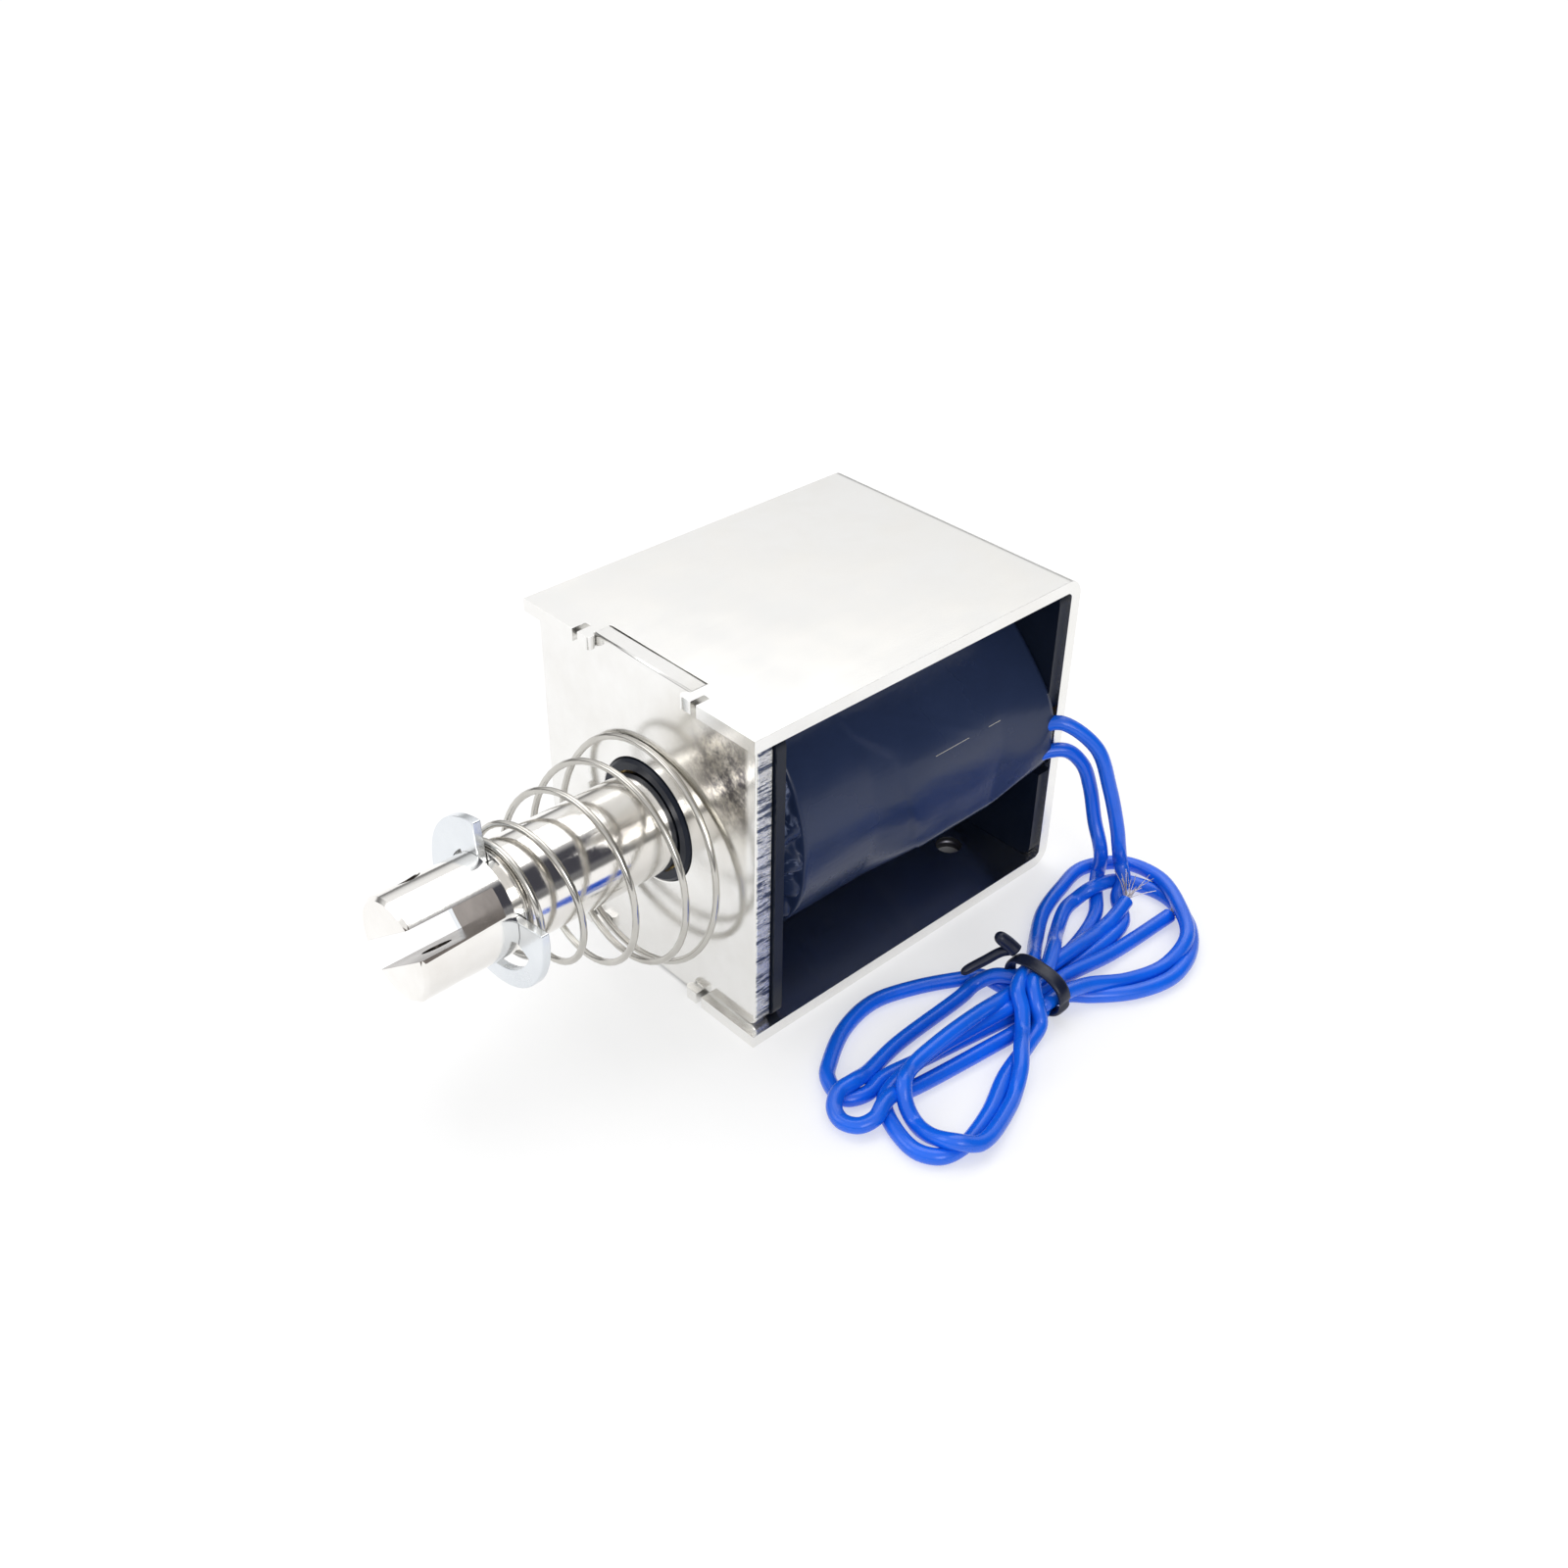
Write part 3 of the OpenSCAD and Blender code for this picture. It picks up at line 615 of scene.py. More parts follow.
def fanned_strands(end, heading, lead_radius, strand, spread, reach, rng):
    """Loose tinned strands that fan out of a lead's stripped end."""
    heading = heading / np.linalg.norm(heading)
    side = np.cross(heading, (0, 0, 1))
    side /= np.linalg.norm(side)
    rise = np.cross(side, heading)
    lines = []
    for _ in range(STRANDS):
        a = rng.uniform(0, 2 * math.pi)
        r = lead_radius * 0.45 * math.sqrt(rng.random())
        start = end + r * (math.cos(a) * side + math.sin(a) * rise) - heading * 0.5 * MM
        long = rng.uniform(0.6, 1.0) * reach
        lean = spread * (rng.uniform(-1, 1) * side + rng.uniform(-0.1, 0.9) * rise)
        curl = rng.uniform(-0.5, 0.5) * side + rng.uniform(-0.3, 0.4) * rise
        path = []
        for t in np.linspace(0, 1, 9):
            p = start + long * t * (heading + lean * t + curl * t * t * 0.6)
            p[2] = max(p[2], strand)
            path.append(p)
        lines.append(path)
    return lines


class SOLENOID_OT_leads(bpy.types.Operator):
    """Lay the two leads, folded into their hank, with their stripped ends"""
    bl_idname = "solenoid.leads"
    bl_label = "Leads"

    def execute(self, context):
        settings = context.scene.solenoid_leads
        skin = insulation("Blue insulation", settings.colour)
        tinned = tinned_strand()
        rng = random.Random(4)
        tie = tie_piece()
        for name, route, spread, reach in LEADS:
            lead, path = lead_curve(f"lead_{name}_wire", route, settings.diameter, skin)
            lines = fanned_strands(path[-1], path[-1] - path[-6], settings.diameter / 2,
                                   settings.strand, spread, reach, rng)
            ends = wires_from(f"lead_{name}_strands", lines, settings.strand / 2, STRAND_SIDES,
                              tinned)
            finish_piece(ends, FRAME_BODY, "solder", f"lead_tip_{name}")
            nodes = ["lead_a", "lead_hank"] if name == "a" else ["lead_b"]
            finish_piece(lead, FRAME_BODY, "lead_insulation", *nodes)
        return {"FINISHED"}


# ---- Tie ----

TIE_STRIP = (1.15 * MM, 0.42 * MM)
TIE_BAND = (5.05 * MM, 3.55 * MM)
TIE_LIFT = 4.15 * MM
TIE_BAND_SIDES, TIE_STRIP_SIDES = 64, 24
# The twisted knot and the tail: route in millimetres, radius, first side and bluntness
TIE_TAILS = (
    ([(-4.2, 40.6, 7.6), (-3.6, 39.6, 8.6), (-2.8, 38.8, 9.6), (-2.2, 38.3, 10.4)],
     1.05 * MM, (1, 0, 0), 6),
    ([(-4.4, 40.2, 7.4), (-3, 38.9, 7.0), (-1, 37.7, 5.8), (1.2, 36.5, 4.6), (2.4, 36.2, 4.2)],
     0.75 * MM, (0, 0, 1), 8),
)


def squared(angle, half, powers):
    """Point at an angle on a rounded rectangle."""
    return [h * math.copysign(abs(v) ** power, v)
            for h, v, power in zip(half, (math.cos(angle), math.sin(angle)), powers)]


def tie_piece():
    """Plastic-covered wire tie round the hank, with its two twisted tails."""
    mat = tie_plastic()
    strip = [squared(2 * math.pi * k / TIE_STRIP_SIDES, TIE_STRIP, (0.6, 0.8))
             for k in range(TIE_STRIP_SIDES)]
    band = []
    for a in np.linspace(0, 2 * math.pi, TIE_BAND_SIDES, endpoint=False):
        across, up = squared(a, TIE_BAND, (0.8, 0.85))
        band.append((TIE_X + 0.25 * MM * math.sin(a), TIE_Y + 0.1 * MM + across, TIE_LIFT + up))
    shapes = [swept(band, strip, (1, 0, 0), closed=True)]
    for route, radius, first, blunt in TIE_TAILS:
        line = smooth_path(route, 6) * MM
        taper = np.sqrt(np.clip(1 - np.linspace(0, 1, len(line)) ** blunt, 0.02, 1))
        shapes.append(swept(line, circle(radius, 16), first, taper))
    verts, faces = joined(shapes)
    tie = outward(mesh_object("hank_tie", verts, faces, mat))
    return finish_piece(tie, FRAME_BODY, "tie", "lead_tie")


# ---- Spring ----

SPRING_START_X = 56.0 * MM
SPRING_END_X = 31.05 * MM
CLOSE_TURNS, OPEN_TURNS, END_TURNS = 1.0, 3.3, 0.9
CLOSE_PITCH = 1.05 * MM
SPRING_SAG = (0.44 * MM, 3.6 * MM)
SPRING_SIDE = (0.26 * MM, 0.8 * MM)
SPRING_LEAN = math.tan(math.radians(6.5))
SPRING_PHASE = math.radians(250)
SPRING_WIDENING = 0.87
WIRE_SIDES = 14


def spring_path(settings, steps=48):
    """Middle of the spring's wire, from the ring to the front plate."""
    widening = settings.large_radius - settings.small_radius
    end_x = SPRING_END_X + SPRING_LEAN * settings.large_radius
    turns = CLOSE_TURNS + OPEN_TURNS + END_TURNS
    path = []
    for s in np.linspace(0, turns, int(turns * steps) + 1):
        past = max(0.0, s - CLOSE_TURNS)
        opened = min(1.0, past / OPEN_TURNS)
        r = settings.small_radius + widening * opened ** SPRING_WIDENING
        sag = SPRING_SAG[0] + (SPRING_SAG[1] - SPRING_SAG[0]) * opened
        side = SPRING_SIDE[0] + (SPRING_SIDE[1] - SPRING_SIDE[0]) * opened
        close_x = SPRING_START_X - CLOSE_PITCH * min(s, CLOSE_TURNS)
        a = SPRING_PHASE - 2 * math.pi * s
        lean = SPRING_LEAN * min(1.0, past) * r * math.sin(a)
        path.append((close_x + (end_x - close_x) * opened - lean, side + r * math.cos(a),
                     AXIS_Z - sag + r * math.sin(a)))
    return np.array(path)


class SOLENOID_OT_spring(bpy.types.Operator):
    """Wind the conical return spring between the snap ring and the front plate"""
    bl_idname = "solenoid.spring"
    bl_label = "Return spring"

    def execute(self, context):
        settings = context.scene.solenoid_spring
        spring = wires_from("spring_wire", [spring_path(settings)], settings.wire / 2, WIRE_SIDES,
                            bright_wire())
        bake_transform(spring)
        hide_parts("return_spring")
        return {"FINISHED"}


# ---- Coil ----

TAPE_X = (-28.35 * MM, 25.85 * MM)
CREST_X = 20.6 * MM
COIL_R = 22.0 * MM
SHOULDER_R = 15.5 * MM
TAPE_THICKNESS = 0.3 * MM
SLEEVE_X = (-18 * MM, -4 * MM)
SLEEVE_PATH_R = 22.35 * MM
SLEEVE_TURNS = (16, -22)
SLEEVE_COVERS = (1.95 * MM, 1.5 * MM)
TENT_BACK_Y = (17.5 * MM, 24.9 * MM)
TENT_BACK_Z = (-3.7 * MM, 5 * MM)
TENT_NOSE_L = 14 * MM
CREST_SLIP = 1.2 * MM
# How many steps of the half degree round the coil the drape is softened over
DRAPE = 14
AROUND = 721
SLACK = 9.0
# The layer's edge: angle in degrees and place in millimetres
LAYER_EDGE = ((-180, -40, -20, 6, 23, 36, 60, 180), (-9, -9, -1, 1.7, 3.5, 8.3, 12, 12))
LAYER_STEP, LAYER_BLEND = 0.2 * MM, 0.5 * MM
TAPE_RINGS, CRUMPLED_RINGS, TAPE_SIDES = 150, 60, 300
TAPE_SIDE_Y = 24.9 * MM
FOLD_COUNTS = (7, 11, 16, 19, 23, 29)
FOLDS, CREASES = 7, 22


def tape_radius(x, angles):
    """Radius of the stretched tape at a place along the coil, at each angle about its axis."""
    way = np.linspace(-math.pi, math.pi, AROUND)
    c, s = np.cos(way), np.sin(way)
    sleeves = np.max([SLEEVE_PATH_R * np.cos(way - math.radians(turn)) + cover
                      for turn, cover in zip(SLEEVE_TURNS, SLEEVE_COVERS)], axis=0)
    back = np.max([y * c + z * s for y in TENT_BACK_Y for z in TENT_BACK_Z], axis=0)
    if x < SLEEVE_X[0]:
        t = (SLEEVE_X[0] - x) / (SLEEVE_X[0] - TAPE_X[0])
        reach = sleeves * (1 - t) + back * t
    elif x <= SLEEVE_X[1]:
        reach = sleeves
    else:
        t = min(1.0, (x - SLEEVE_X[1]) / TENT_NOSE_L)
        t = t * t * (3 - 2 * t)
        reach = sleeves * (1 - t) + (COIL_R - TAPE_THICKNESS) * t
    reach = np.maximum(reach, COIL_R)
    turn = np.cos(way[None] - angles[:, None])
    taut = np.where(turn > 0.05, reach[None] / np.maximum(turn, 0.05), SLACK).min(axis=1)
    weights = np.exp(-0.5 * (np.arange(-2 * DRAPE, 2 * DRAPE + 1) / DRAPE * 2) ** 2)
    looped = np.concatenate([taut[-2 * DRAPE:], taut, taut[:2 * DRAPE]])
    soft = np.convolve(looped, weights / weights.sum(), "valid")
    upper = np.clip((np.degrees(angles) + 20) / 14, 0, 1)
    return taut + (soft - taut) * upper


def crease(x, a, lines):
    """Height of the tape's creases, from sharp folds that run across the wrap."""
    total = np.zeros_like(a)
    for x0, a0, slope, width, long, height in lines:
        da = (a - a0 + math.pi) % (2 * math.pi) - math.pi
        across = (x - x0) - slope * da * COIL_R
        along = da * COIL_R
        total += height * np.maximum(0, 1 - np.abs(across) / width) * np.exp(-(along / long) ** 2)
    return total


def crumpled_end(past, angles, folds, height):
    """Radius of the tape gathered over the coil's front end, from its crest to its mouth."""
    drop = (COIL_R - SHOULDER_R) / MM
    fall = np.interp(past, (0, 0.04, 0.1, 1), (0, 0.9, 1.1, drop)) * MM
    ridge = sum(
        high * (1 - 2 * np.abs(((count * angles + phase + twist * past * 2) / math.pi) % 2 - 1))
        for phase, count, twist, high in folds)
    ridge *= height * 2.2 * math.sin(math.pi * min(1, past * 1.15)) ** 0.6
    return COIL_R - fall + np.minimum(ridge * (past > 0.04), fall)


class SOLENOID_OT_coil(bpy.types.Operator):
    """Wrap the coil in its creased tape, drawn over the leads' sleeves"""
    bl_idname = "solenoid.coil"
    bl_label = "Taped coil"

    def execute(self, context):
        settings = context.scene.solenoid_coil
        rng = random.Random(11)
        draw = rng.uniform
        folds = [(draw(0, 2 * math.pi), rng.choice(FOLD_COUNTS), draw(-2.5, 2.5), draw(0.5, 1))
                 for _ in range(FOLDS)]
        lines = [(draw(-27, 17) * MM, draw(-math.pi, math.pi), draw(-2.5, 2.5), draw(1.5, 4) * MM,
                  draw(5, 14) * MM, draw(-0.25, 0.25) * settings.crumple) for _ in range(CREASES)]
        n, m = TAPE_RINGS, TAPE_SIDES
        crest = n - 1 - CRUMPLED_RINGS
        angles = np.linspace(-math.pi, math.pi, m, endpoint=False)
        layer_edge = np.interp(np.degrees(angles), *LAYER_EDGE) * MM
        slip = CREST_SLIP * np.clip((-np.degrees(angles) - 5) / 40, 0, 1) * (angles > -2)
        verts = []
        for i in range(n):
            t = i / crest
            past = max(0.0, (i - crest) / CRUMPLED_RINGS)
            if t <= 1:
                x = TAPE_X[0] + (CREST_X - TAPE_X[0]) * t - slip * t ** 3
                middle = float(x.mean())
                r = tape_radius(middle, angles) + crease(middle, angles, lines)
                r += LAYER_STEP * np.clip((layer_edge - x) / LAYER_BLEND, 0, 1)
            else:
                x = CREST_X - slip + (TAPE_X[1] - CREST_X + slip) * past ** 0.9
                r = crumpled_end(past, angles, folds, settings.crumple)
            r = np.minimum(r, TAPE_SIDE_Y / np.maximum(np.abs(np.cos(angles)), 0.6))
            verts += [(float(w), q * math.cos(a), AXIS_Z + q * math.sin(a))
                      for w, q, a in zip(x, r, angles)]
        faces = [(i * m + j, i * m + (j + 1) % m, (i + 1) * m + (j + 1) % m, (i + 1) * m + j)
                 for i in range(n - 1) for j in range(m)]
        tape = outward(mesh_object("coil_wrap", verts, faces, tape_film(settings.tape)))
        wall = tape.modifiers.new("Thickness", "SOLIDIFY")
        wall.thickness = TAPE_THICKNESS
        wall.offset = -1
        finish_piece(shaded_smooth(baked(tape)), FRAME_BODY, "coil_tape", "coil_tape")
        return {"FINISHED"}


# ---- Metal parts ----

class SOLENOID_OT_metal(bpy.types.Operator):
    """Round the edges of the plated parts and give them their finishes"""
    bl_idname = "solenoid.metal"
    bl_label = "Plated parts"

    def execute(self, context):
        settings = context.scene.solenoid_metal
        strip = edged_copy("frame_strip", "frame", settings.edge, frame_nickel(settings.nickel),
                           tapped_wall_painted_shade(), in_hole)
        finish_piece(strip, FRAME_BODY, "frame_plating", "frame")
        plate = rolled_plate("front_pole_plate", "front_plate", settings.roll,
                             plate_nickel(settings.nickel))
        finish_piece(plate, FRAME_BODY, "frame_plating", "front_plate")
        bar = edged_copy("plunger_bar", "plunger", settings.bar_edge, mirror_nickel(),
                         milled_nickel_painted_shade(), in_slot)
        mark_slot_edges(bar, settings.bar_edge)
        finish_piece(bar, PLUNGER_BODY, "plunger_plating", "plunger")
        finish_piece(snap_ring(zinc()), RING_BODY, "ring_zinc", "retaining_ring")
        return {"FINISHED"}


def rolled_plate(name, cad_node, roll, mat):
    """A flat plate square to X, made again from its outline with rolled-over edges."""
    bm = welded(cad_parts[cad_node].data)
    front = max(v.co.x for v in bm.verts)
    back = min(v.co.x for v in bm.verts)
    face = [f for f in bm.faces
            if f.normal.x > 0.99 and f.calc_center_median().x > front - 0.01 * MM]
    inside = {f.index for f in face}
    rim = {}
    for f in face:
        for loop in f.loops:
            if sum(g.index in inside for g in loop.edge.link_faces) == 1:
                rim[loop.vert] = loop.link_loop_next.vert
    data = bpy.data.curves.new(name, "CURVE")
    data.dimensions = "2D"
    data.fill_mode = "BOTH"
    data.bevel_depth = roll
    data.bevel_resolution = 3
    data.offset = -roll
    data.extrude = (front - back) / 2 - roll
    while rim:
        vert = next(iter(rim))
        loop = []
        while vert in rim:
            loop.append((vert.co.y, vert.co.z))
            vert = rim.pop(vert)
        spline = data.splines.new("POLY")
        spline.points.add(len(loop) - 1)
        spline.use_cyclic_u = True
        for point, (y, z) in zip(spline.points, loop):
            point.co = (y, z, 0, 1)
    bm.free()
    made = new_object(name, data)
    mesh = evaluated_mesh(made)
    bpy.data.objects.remove(made)
    mesh.materials.clear()
    mesh.materials.append(mat)
    middle = (front + back) / 2
    mesh.transform(Matrix(((0, 0, 1, middle), (1, 0, 0, 0), (0, 1, 0, 0), (0, 0, 0, 1))))
    plate = outward(new_object(name, mesh))
    bm = welded(mesh)
    for f in bm.faces:
        f.smooth = max(map(abs, f.normal)) < 0.999
    bm.to_mesh(mesh)
    bm.free()
    return plate


# The fork's slot: its width, where the faces in it and their edges begin, and its closed end
SLOT_W = 4.2 * MM
SLOT_REACH = 3.5 * MM
FORK_X, FORK_EDGE_X, SLOT_END_X = 58.5 * MM, 59 * MM, 59.3 * MM
SLOT_END_R = 6 * MM

# Fixing holes through the base: half their spacing along and across, and their radius
HOLE_X, HOLE_Y, HOLE_R = 21.25 * MM, 12.5 * MM, 2.1 * MM
BASE_T = 2 * MM
NEAR = 0.3 * MM


def mark_slot_edges(bar, edge):
    """Give the rounded edges of the fork slot the milled finish, which is in the second slot, as a
    painted dark outline.
    """
    faces = bar.data.polygons
    across = max((f for f in faces if f.material_index == 1 and abs(f.normal.x) < 0.1),
                 key=lambda f: f.area).normal
    for f in faces:
        off = abs(across.dot(f.center - Vector((f.center.x, 0, AXIS_Z))))
        if f.center.x > FORK_EDGE_X and off < SLOT_W / 2 + 0.95 * edge and f.area < 4 * MM * MM:
            f.material_index = 1


def in_hole(centre, normal):
    """Faces in the wall of a fixing hole."""
    return (abs(normal.z) < 0.5 and centre.z < BASE_T
            and math.hypot(abs(centre.x) - HOLE_X, abs(centre.y) - HOLE_Y) < HOLE_R + NEAR)


def in_slot(centre, normal):
    """Faces inside the plunger's fork slot and its cross hole."""
    away = math.hypot(centre.y, centre.z - AXIS_Z)
    level = abs(normal.y * centre.y + normal.z * (centre.z - AXIS_Z))
    return centre.x > FORK_X and level < SLOT_REACH and abs(normal.x) < 0.9 or (
        abs(centre.x - SLOT_END_X) < NEAR and away < SLOT_END_R)


RING_X, RING_T, RING_R, RING_SEAT_R = 57.2 * MM, 1.3 * MM, 12.5 * MM, 6.0 * MM
RING_RELIEF = (7.9 * MM, 9.8 * MM)
RING_TURN, RING_MOUTH, RING_LUG = 52, 86, 30
RING_EDGE = 0.14 * MM


def snap_ring(mat):
    """Stamped ring with an open mouth, lugs at its mouth and back, and a relief between them."""
    half = RING_MOUTH / 2
    outer, inner = [], []
    for a in np.linspace(half, 360 - half, 121):
        outer.append((RING_R, a))
        side = 0 if a < 180 else 1
        near = min(abs(a - half), abs(360 - half - a))
        back = abs(a - 180)
        in_relief = near > RING_LUG and back > RING_LUG / 2
        inner.append((RING_RELIEF[side] if in_relief else RING_SEAT_R, a))
    verts, faces = [], []
    for x in (RING_X - RING_T / 2, RING_X + RING_T / 2):
        for r, a in outer + inner:
            w = math.radians(a + RING_TURN)
            verts.append((x, r * math.cos(w), AXIS_Z + r * math.sin(w)))
    k = len(outer)
    n = 2 * k
    for i in range(k - 1):
        faces += [(i, i + 1, k + i + 1, k + i), (n + i, n + k + i, n + k + i + 1, n + i + 1),
                  (i, n + i, n + i + 1, i + 1), (k + i, k + i + 1, n + k + i + 1, n + k + i)]
    for i in (0, k - 1):
        faces.append((i, k + i, n + k + i, n + i))
    ring = outward(mesh_object("snap_ring", verts, faces, mat, smooth=False))
    edge_bevel(ring, RING_EDGE, math.radians(40))
    return baked(ring)


class SOLENOID_OT_inner(bpy.types.Operator):
    """Give the bobbin and the parts inside the coil their finishes"""
    bl_idname = "solenoid.inner"
    bl_label = "Bobbin and inner parts"

    def execute(self, context):
        for make, names in (
                (moulded_nylon, ("bobbin",)), (brass, ("guide_tube", "residual_shim")),
                (clear_film, ("core_wrap", "under_tape")), (core_steel, ("fixed_core",)),
                (enamel_winding, ("winding", "start_wire", "finish_wire")),
                (solder, ("joint_a", "joint_b")), (sleeving, ("sleeve_a", "sleeve_b"))):
            mat = make()
            for name in names:
                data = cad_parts[name].data
                data.materials.clear()
                data.materials.append(mat)
        return {"FINISHED"}


# ---- Finishes ----

SKIN = [("Base Color", "NodeSocketColor"), ("Roughness", "NodeSocketFloat"),
        ("Normal", "NodeSocketVector")]


def plating_group():
    """Bright plating: cloudy colour, a fine skin of grain and drawing lines, and duller patches."""
    group, given, out = new_group(
        "Plating",
        [("Clean", "NodeSocketColor", (0.9, 0.89, 0.87, 1)),
         ("Dull", "NodeSocketColor", (0.6, 0.57, 0.52, 1)), ("Cloud", "NodeSocketFloat", 0.3),
         ("Polish", "NodeSocketFloat", 0.12), ("Satin", "NodeSocketFloat", 0.3)], SKIN)
    value = given.outputs
    cloud = span(group, spots(group, 90, 6, 0.6), 0.35, 0.75)
    lines = spots(group, 60, 5, 0.7, (1, 40, 40))
    matt = maths(group, "ADD", maths(group, "MULTIPLY", cloud, 0.6),
                 maths(group, "MULTIPLY", lines, 0.5))
    amount = maths(group, "MULTIPLY", cloud, value["Cloud"])
    fine = bumped(group, spots(group, 1400, 3, 0.6), 0.004 * MM)
    lead_to(group, out, Base_Color=mixed(group, amount, value["Clean"], value["Dull"]),
            Roughness=span(group, matt, 0, 1, value["Polish"], value["Satin"]),
            Normal=bumped(group, spots(group, 45, 2, 0.5), 0.12 * MM, fine))
    return group


def plastic_group():
    """Plastic skin: patches of two shades, grain and softer scuffs."""
    group, given, out = new_group(
        "Plastic skin",
        [("Shade", "NodeSocketColor", (0.02, 0.02, 0.02, 1)),
         ("Worn", "NodeSocketColor", (0.05, 0.05, 0.05, 1)),
         ("Patch size", "NodeSocketFloat", 120.0), ("Grain size", "NodeSocketFloat", 1500.0),
         ("Gloss", "NodeSocketFloat", 0.3), ("Matt", "NodeSocketFloat", 0.5)], SKIN)
    value = given.outputs
    patch, grain = spots(group, value["Patch size"], 5), spots(group, value["Grain size"], 3)
    worn = span(group, patch, 0.25, 0.8)
    lead_to(group, out, Base_Color=mixed(group, worn, value["Shade"], value["Worn"]),
            Roughness=span(group, worn, 0, 1, value["Gloss"], value["Matt"]),
            Normal=bumped(group, grain, 0.012 * MM))
    return group


GROUP_MAKERS = {"plating": plating_group, "plastic": plastic_group}
MADE_GROUPS = {}


def finish(tree, shader, group, **values):
    """Lead the outputs of a shared group, made on its first use, to the shader."""
    if group not in MADE_GROUPS:
        MADE_GROUPS[group] = GROUP_MAKERS[group]()
    made = tree.nodes.new("ShaderNodeGroup")
    made.node_tree = MADE_GROUPS[group]
    for name, value in values.items():
        put(tree, value, made.inputs[name.replace("_", " ")])
    for output in made.outputs:
        tree.links.new(output, shader.inputs[output.name])
    return made.outputs


def plated(name, clean, dull, cloud, polish, satin):
    """A metal in the shared plating."""
    mat, tree, shader = material(name)
    shader.inputs["Metallic"].default_value = 1.0
    skin = finish(tree, shader, "plating", Clean=clean, Dull=dull, Cloud=cloud, Polish=polish,
                  Satin=satin)
    return mat, tree, shader, skin


def moulded(name, shade, worn, gloss, matt, patch=120.0, level=0.5):
    """A plastic in the shared skin."""
    mat, tree, shader = material(name)
    skin = finish(tree, shader, "plastic", Shade=shade, Worn=worn, Gloss=gloss, Matt=matt,
                  Patch_size=patch)
    shader.inputs["Specular IOR Level"].default_value = level
    return mat, tree, shader, skin


def relief(tree, shader, skin, height, distance):
    """Raise a relief over the one of a shared skin."""
    lead_to(tree, shader, Normal=bumped(tree, height, distance, skin["Normal"]))


def frame_nickel(colour):
    return plated("Bright nickel", colour, (0.72, 0.69, 0.63), 0.35, 0.14, 0.3)[0]


# Middle of the painted reflection on the front plate, a mottled darkening standing in for the
# plunger, ring and dark room reflected there, and the reach of its golden-grey haze and of its dark
# patch
PAINTED_REFLECTION_Y, PAINTED_REFLECTION_Z = 17.5 * MM, 42 * MM
REFLECTION_HAZE_REACH, DARK_REFLECTION_REACH = (17 * MM, 5 * MM), (9.5 * MM, 3 * MM)
# The rolled rim, where the painted reflection stops
RIM_WITHOUT_PAINTED_REFLECTION = (20.4 * MM, 21.3 * MM)
TORN_SIDE = (0.75, 0.95)


def plate_nickel(colour):
    """Bright nickel with a mottled painted reflection round the bore and torn lines on the sheared
    edges.
    """
    mat, tree, shader, skin = plated("Bright nickel plate", colour, (0.6, 0.57, 0.52), 0.3, 0.1,
                                     0.26)
    place = coordinates(tree)
    away = [maths(tree, "POWER", maths(tree, "SUBTRACT", place[axis], middle), 2.0)
            for axis, middle in (("Y", PAINTED_REFLECTION_Y), ("Z", PAINTED_REFLECTION_Z))]
    reach = maths(tree, "SQRT", maths(tree, "ADD", *away))
    rim = span(tree, maths(tree, "ABSOLUTE", place["Y"]), *RIM_WITHOUT_PAINTED_REFLECTION)
    shade = skin["Base Color"]
    # Painted reflection: a golden-grey haze, then a dark patch, mixed into the plating's colour
    for (far, near), patches, tint in (
            (REFLECTION_HAZE_REACH, span(tree, spots(tree, 110, 6, 0.6), 0.3, 0.6, 0.25, 0.75),
             (0.5, 0.46, 0.38)),
            (DARK_REFLECTION_REACH, span(tree, spots(tree, 420, 8, 0.75), 0.4, 0.56, 0.15, 1.0),
             (0.1, 0.092, 0.1))):
        amount = maths(tree, "MULTIPLY", span(tree, reach, far, near), patches)
        amount = maths(tree, "MULTIPLY", amount, maths(tree, "SUBTRACT", 1.0, rim))
        shade = mixed(tree, amount, shade, tint)
    torn = spots(tree, 1500, 5, 0.7, (0.16, 0.6, 1))
    facing = coordinates(tree, "Normal")["Y"]
    side = span(tree, maths(tree, "ABSOLUTE", facing), *TORN_SIDE)
    torn_dark = maths(tree, "MULTIPLY", side, span(tree, torn, 0.5, 0.58))
    lead_to(tree, shader, Base_Color=mixed(tree, torn_dark, shade, (0.1, 0.12, 0.18)))
    relief(tree, shader, skin, maths(tree, "MULTIPLY", side, torn), 0.25 * MM)
    return mat


def mirror_nickel():
    """Turned and polished bar: very fine rings of turning lines under the bright plating."""
    mat, *made = plated("Mirror nickel", (0.9, 0.885, 0.86), (0.62, 0.57, 0.5), 0.3, 0.045, 0.16)
    relief(*made, spots(made[0], 30, 4, 0.7, (160, 2, 2)), 0.006 * MM)
    return mat


def milled_nickel_painted_shade():
    """Duller plating over milled faces and their edges, its dark colour painted shade inside the
    fork slot and a painted dark outline along the slot's edges.
    """
    # Painted shade: the dark colours stand for shade in the slot and dark outlines on its edges
    mat, *made = plated("Milled nickel painted shade", (0.26, 0.23, 0.21), (0.07, 0.055, 0.05), 0.7, 0.16, 0.34)
    relief(*made, spots(made[0], 60, 3, 0.6, (60, 1, 1)), 0.02 * MM)
    return mat


def tapped_wall_painted_shade():
    """Thread in a fixing hole's wall, its dark colour painted shade inside the hole."""
    # Painted shade: dark plating colours for the shaded inside of the hole
    mat, *made = plated("Tapped wall painted shade", (0.16, 0.16, 0.18), (0.05, 0.05, 0.06), 0.6, 0.25, 0.45)
    relief(*made, waves(made[0], 220, "Z"), 0.3 * MM)
    return mat


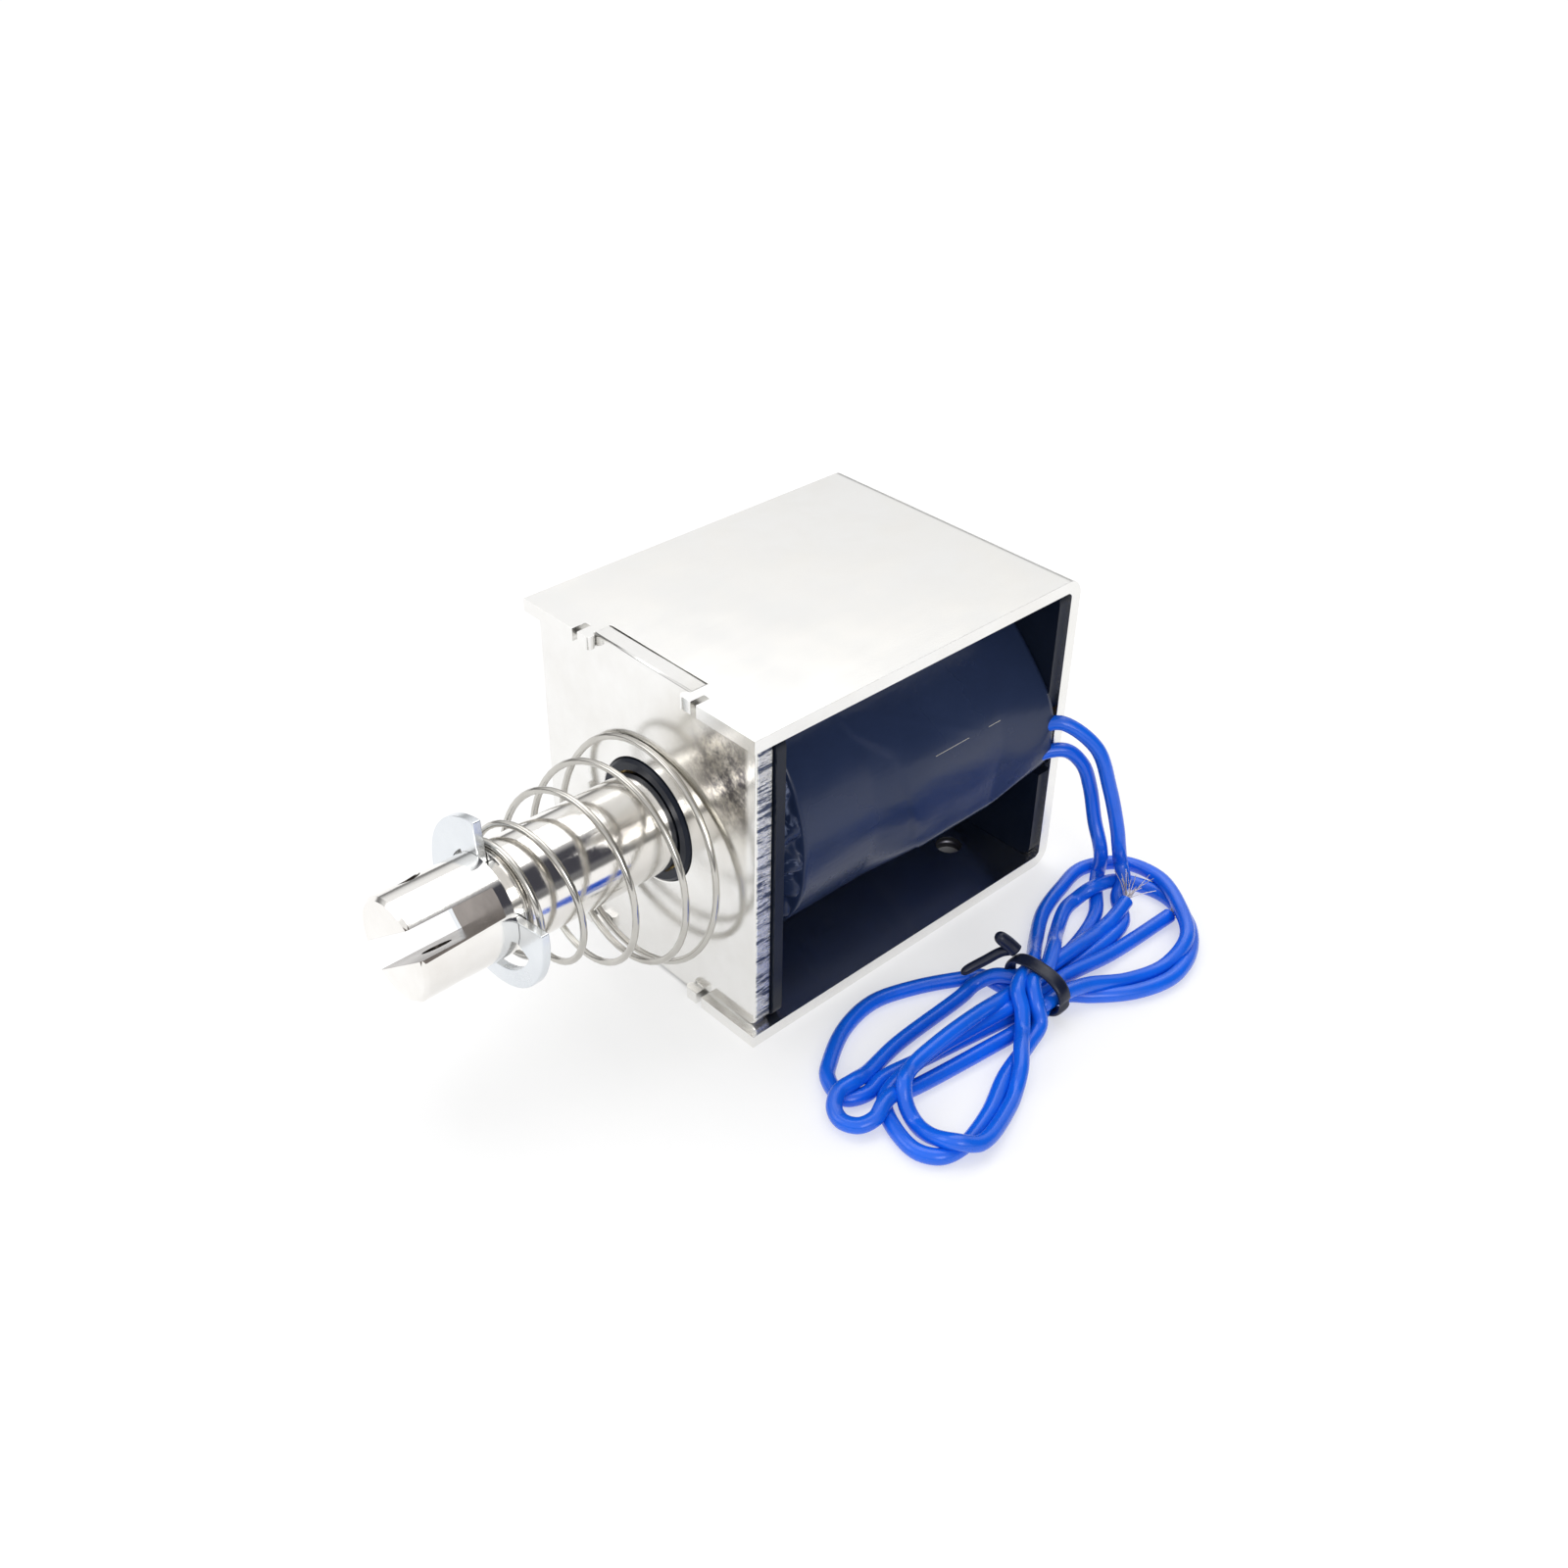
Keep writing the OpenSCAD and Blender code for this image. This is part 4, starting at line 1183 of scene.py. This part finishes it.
def enamel_winding():
    """Enamelled copper turns lying side by side along the coil."""
    mat, *made = plated("Enamelled copper", (0.7, 0.24, 0.08), (0.4, 0.12, 0.04), 0.6, 0.18, 0.36)
    relief(*made, waves(made[0], 700), 0.12 * MM)
    return mat


def zinc():
    return plated("Blue zinc", (0.76, 0.79, 0.82), (0.6, 0.63, 0.67), 0.4, 0.16, 0.34)[0]


def bright_wire():
    return plated("Bright spring wire", (0.6, 0.585, 0.55), (0.3, 0.28, 0.25), 0.5, 0.1, 0.24)[0]


def core_steel():
    return plated("Plated core", (0.8, 0.79, 0.76), (0.5, 0.48, 0.45), 0.5, 0.15, 0.35)[0]


def brass():
    return plated("Brass", (0.78, 0.57, 0.23), (0.42, 0.27, 0.1), 0.5, 0.15, 0.35)[0]


def solder():
    return plated("Solder", (0.66, 0.66, 0.68), (0.35, 0.35, 0.37), 0.7, 0.2, 0.5)[0]


def tinned_strand():
    return plated("Tinned strand", (0.66, 0.66, 0.68), (0.55, 0.36, 0.24), 0.5, 0.15, 0.4)[0]


def moulded_nylon():
    return moulded("Moulded nylon", (0.003, 0.006, 0.015), (0.006, 0.01, 0.022), 0.26, 0.42,
                   level=0.25)[0]


def insulation(name, colour):
    """Extruded plastic with a soft gloss over it."""
    worn = [c * 0.8 for c in colour]
    mat, _, shader, _ = moulded(name, colour, worn, 0.2, 0.32, patch=170.0, level=0.4)
    shader.inputs["Coat Weight"].default_value = 0.25
    shader.inputs["Coat Roughness"].default_value = 0.1
    return mat


def tie_plastic():
    return moulded("Tie plastic", (0.004, 0.007, 0.022), (0.009, 0.014, 0.038), 0.24, 0.4,
                   level=0.4)[0]


def clear_film():
    return moulded("Amber film", (0.42, 0.27, 0.08), (0.5, 0.35, 0.13), 0.15, 0.3)[0]


def sleeving():
    return moulded("Sleeving", (0.6, 0.56, 0.45), (0.7, 0.66, 0.56), 0.4, 0.6)[0]


# Where the tape's gathered front end begins, along the coil
GATHERED_X = (20.9 * MM, 21.4 * MM)


def tape_film(colour):
    """Glossy polyester tape with cloudy scuffs, small wrinkles and painted highlights on the
    creases at its end.
    """
    worn = [c * 1.35 for c in colour]
    mat, tree, shader, skin = moulded("Polyester tape", colour, worn, 0.17, 0.34, patch=55.0,
                                      level=0.3)
    relief(tree, shader, skin, spots(tree, 55, 4, 0.5, (0.7, 1.3, 1.3), 0.5), 0.3 * MM)
    gathered = span(tree, coordinates(tree)["X"], *GATHERED_X)
    creases = span(tree, spots(tree, 380, 3, 0.5, (0.35, 1, 1), 0.8), 0.56, 0.68)
    painted_crease_highlight = maths(tree, "MULTIPLY", gathered, creases)
    # Painted highlight: lighter streaks along the creases of the gathered end
    lead_to(tree, shader, Base_Color=mixed(tree, painted_crease_highlight, skin["Base Color"], (0.3, 0.36, 0.55)))
    return mat


# ---- Panel and registration ----

class SOLENOID_PT_panel(bpy.types.Panel):
    """Sizes, colours and the steps that make the solenoid"""
    bl_idname = "SOLENOID_PT_panel"
    bl_label = "Push pull solenoid"
    bl_space_type = "VIEW_3D"
    bl_region_type = "UI"
    bl_category = "Solenoid"

    def draw(self, context):
        for group, (_, operators) in SETTINGS.items():
            box = self.layout.box()
            settings = getattr(context.scene, group)
            for name in settings.bl_rna.properties.keys():
                if name not in ("rna_type", "name"):
                    box.prop(settings, name)
            for operator in operators:
                box.operator(operator)


SETTINGS = {
    "solenoid_stage": (SolenoidStage, ("solenoid.stage",)),
    "solenoid_leads": (SolenoidLeads, ("solenoid.leads",)),
    "solenoid_spring": (SolenoidSpring, ("solenoid.spring",)),
    "solenoid_coil": (SolenoidCoil, ("solenoid.coil",)),
    "solenoid_metal": (SolenoidMetal, ("solenoid.metal", "solenoid.inner")),
}
CLASSES = (
    SolenoidStage, SolenoidLeads, SolenoidSpring, SolenoidCoil, SolenoidMetal, SOLENOID_OT_stage,
    SOLENOID_OT_leads, SOLENOID_OT_spring, SOLENOID_OT_coil, SOLENOID_OT_metal, SOLENOID_OT_inner,
    SOLENOID_PT_panel)


def register():
    for cls in CLASSES:
        bpy.utils.register_class(cls)
    for name, (cls, _) in SETTINGS.items():
        setattr(bpy.types.Scene, name, bpy.props.PointerProperty(type=cls))


def unregister():
    for name in SETTINGS:
        delattr(bpy.types.Scene, name)
    for cls in reversed(CLASSES):
        bpy.utils.unregister_class(cls)


def main():
    register()
    for operator in (bpy.ops.solenoid.stage, bpy.ops.solenoid.leads, bpy.ops.solenoid.spring,
                     bpy.ops.solenoid.coil, bpy.ops.solenoid.metal, bpy.ops.solenoid.inner):
        operator()


if __name__ == "__main__":
    main()
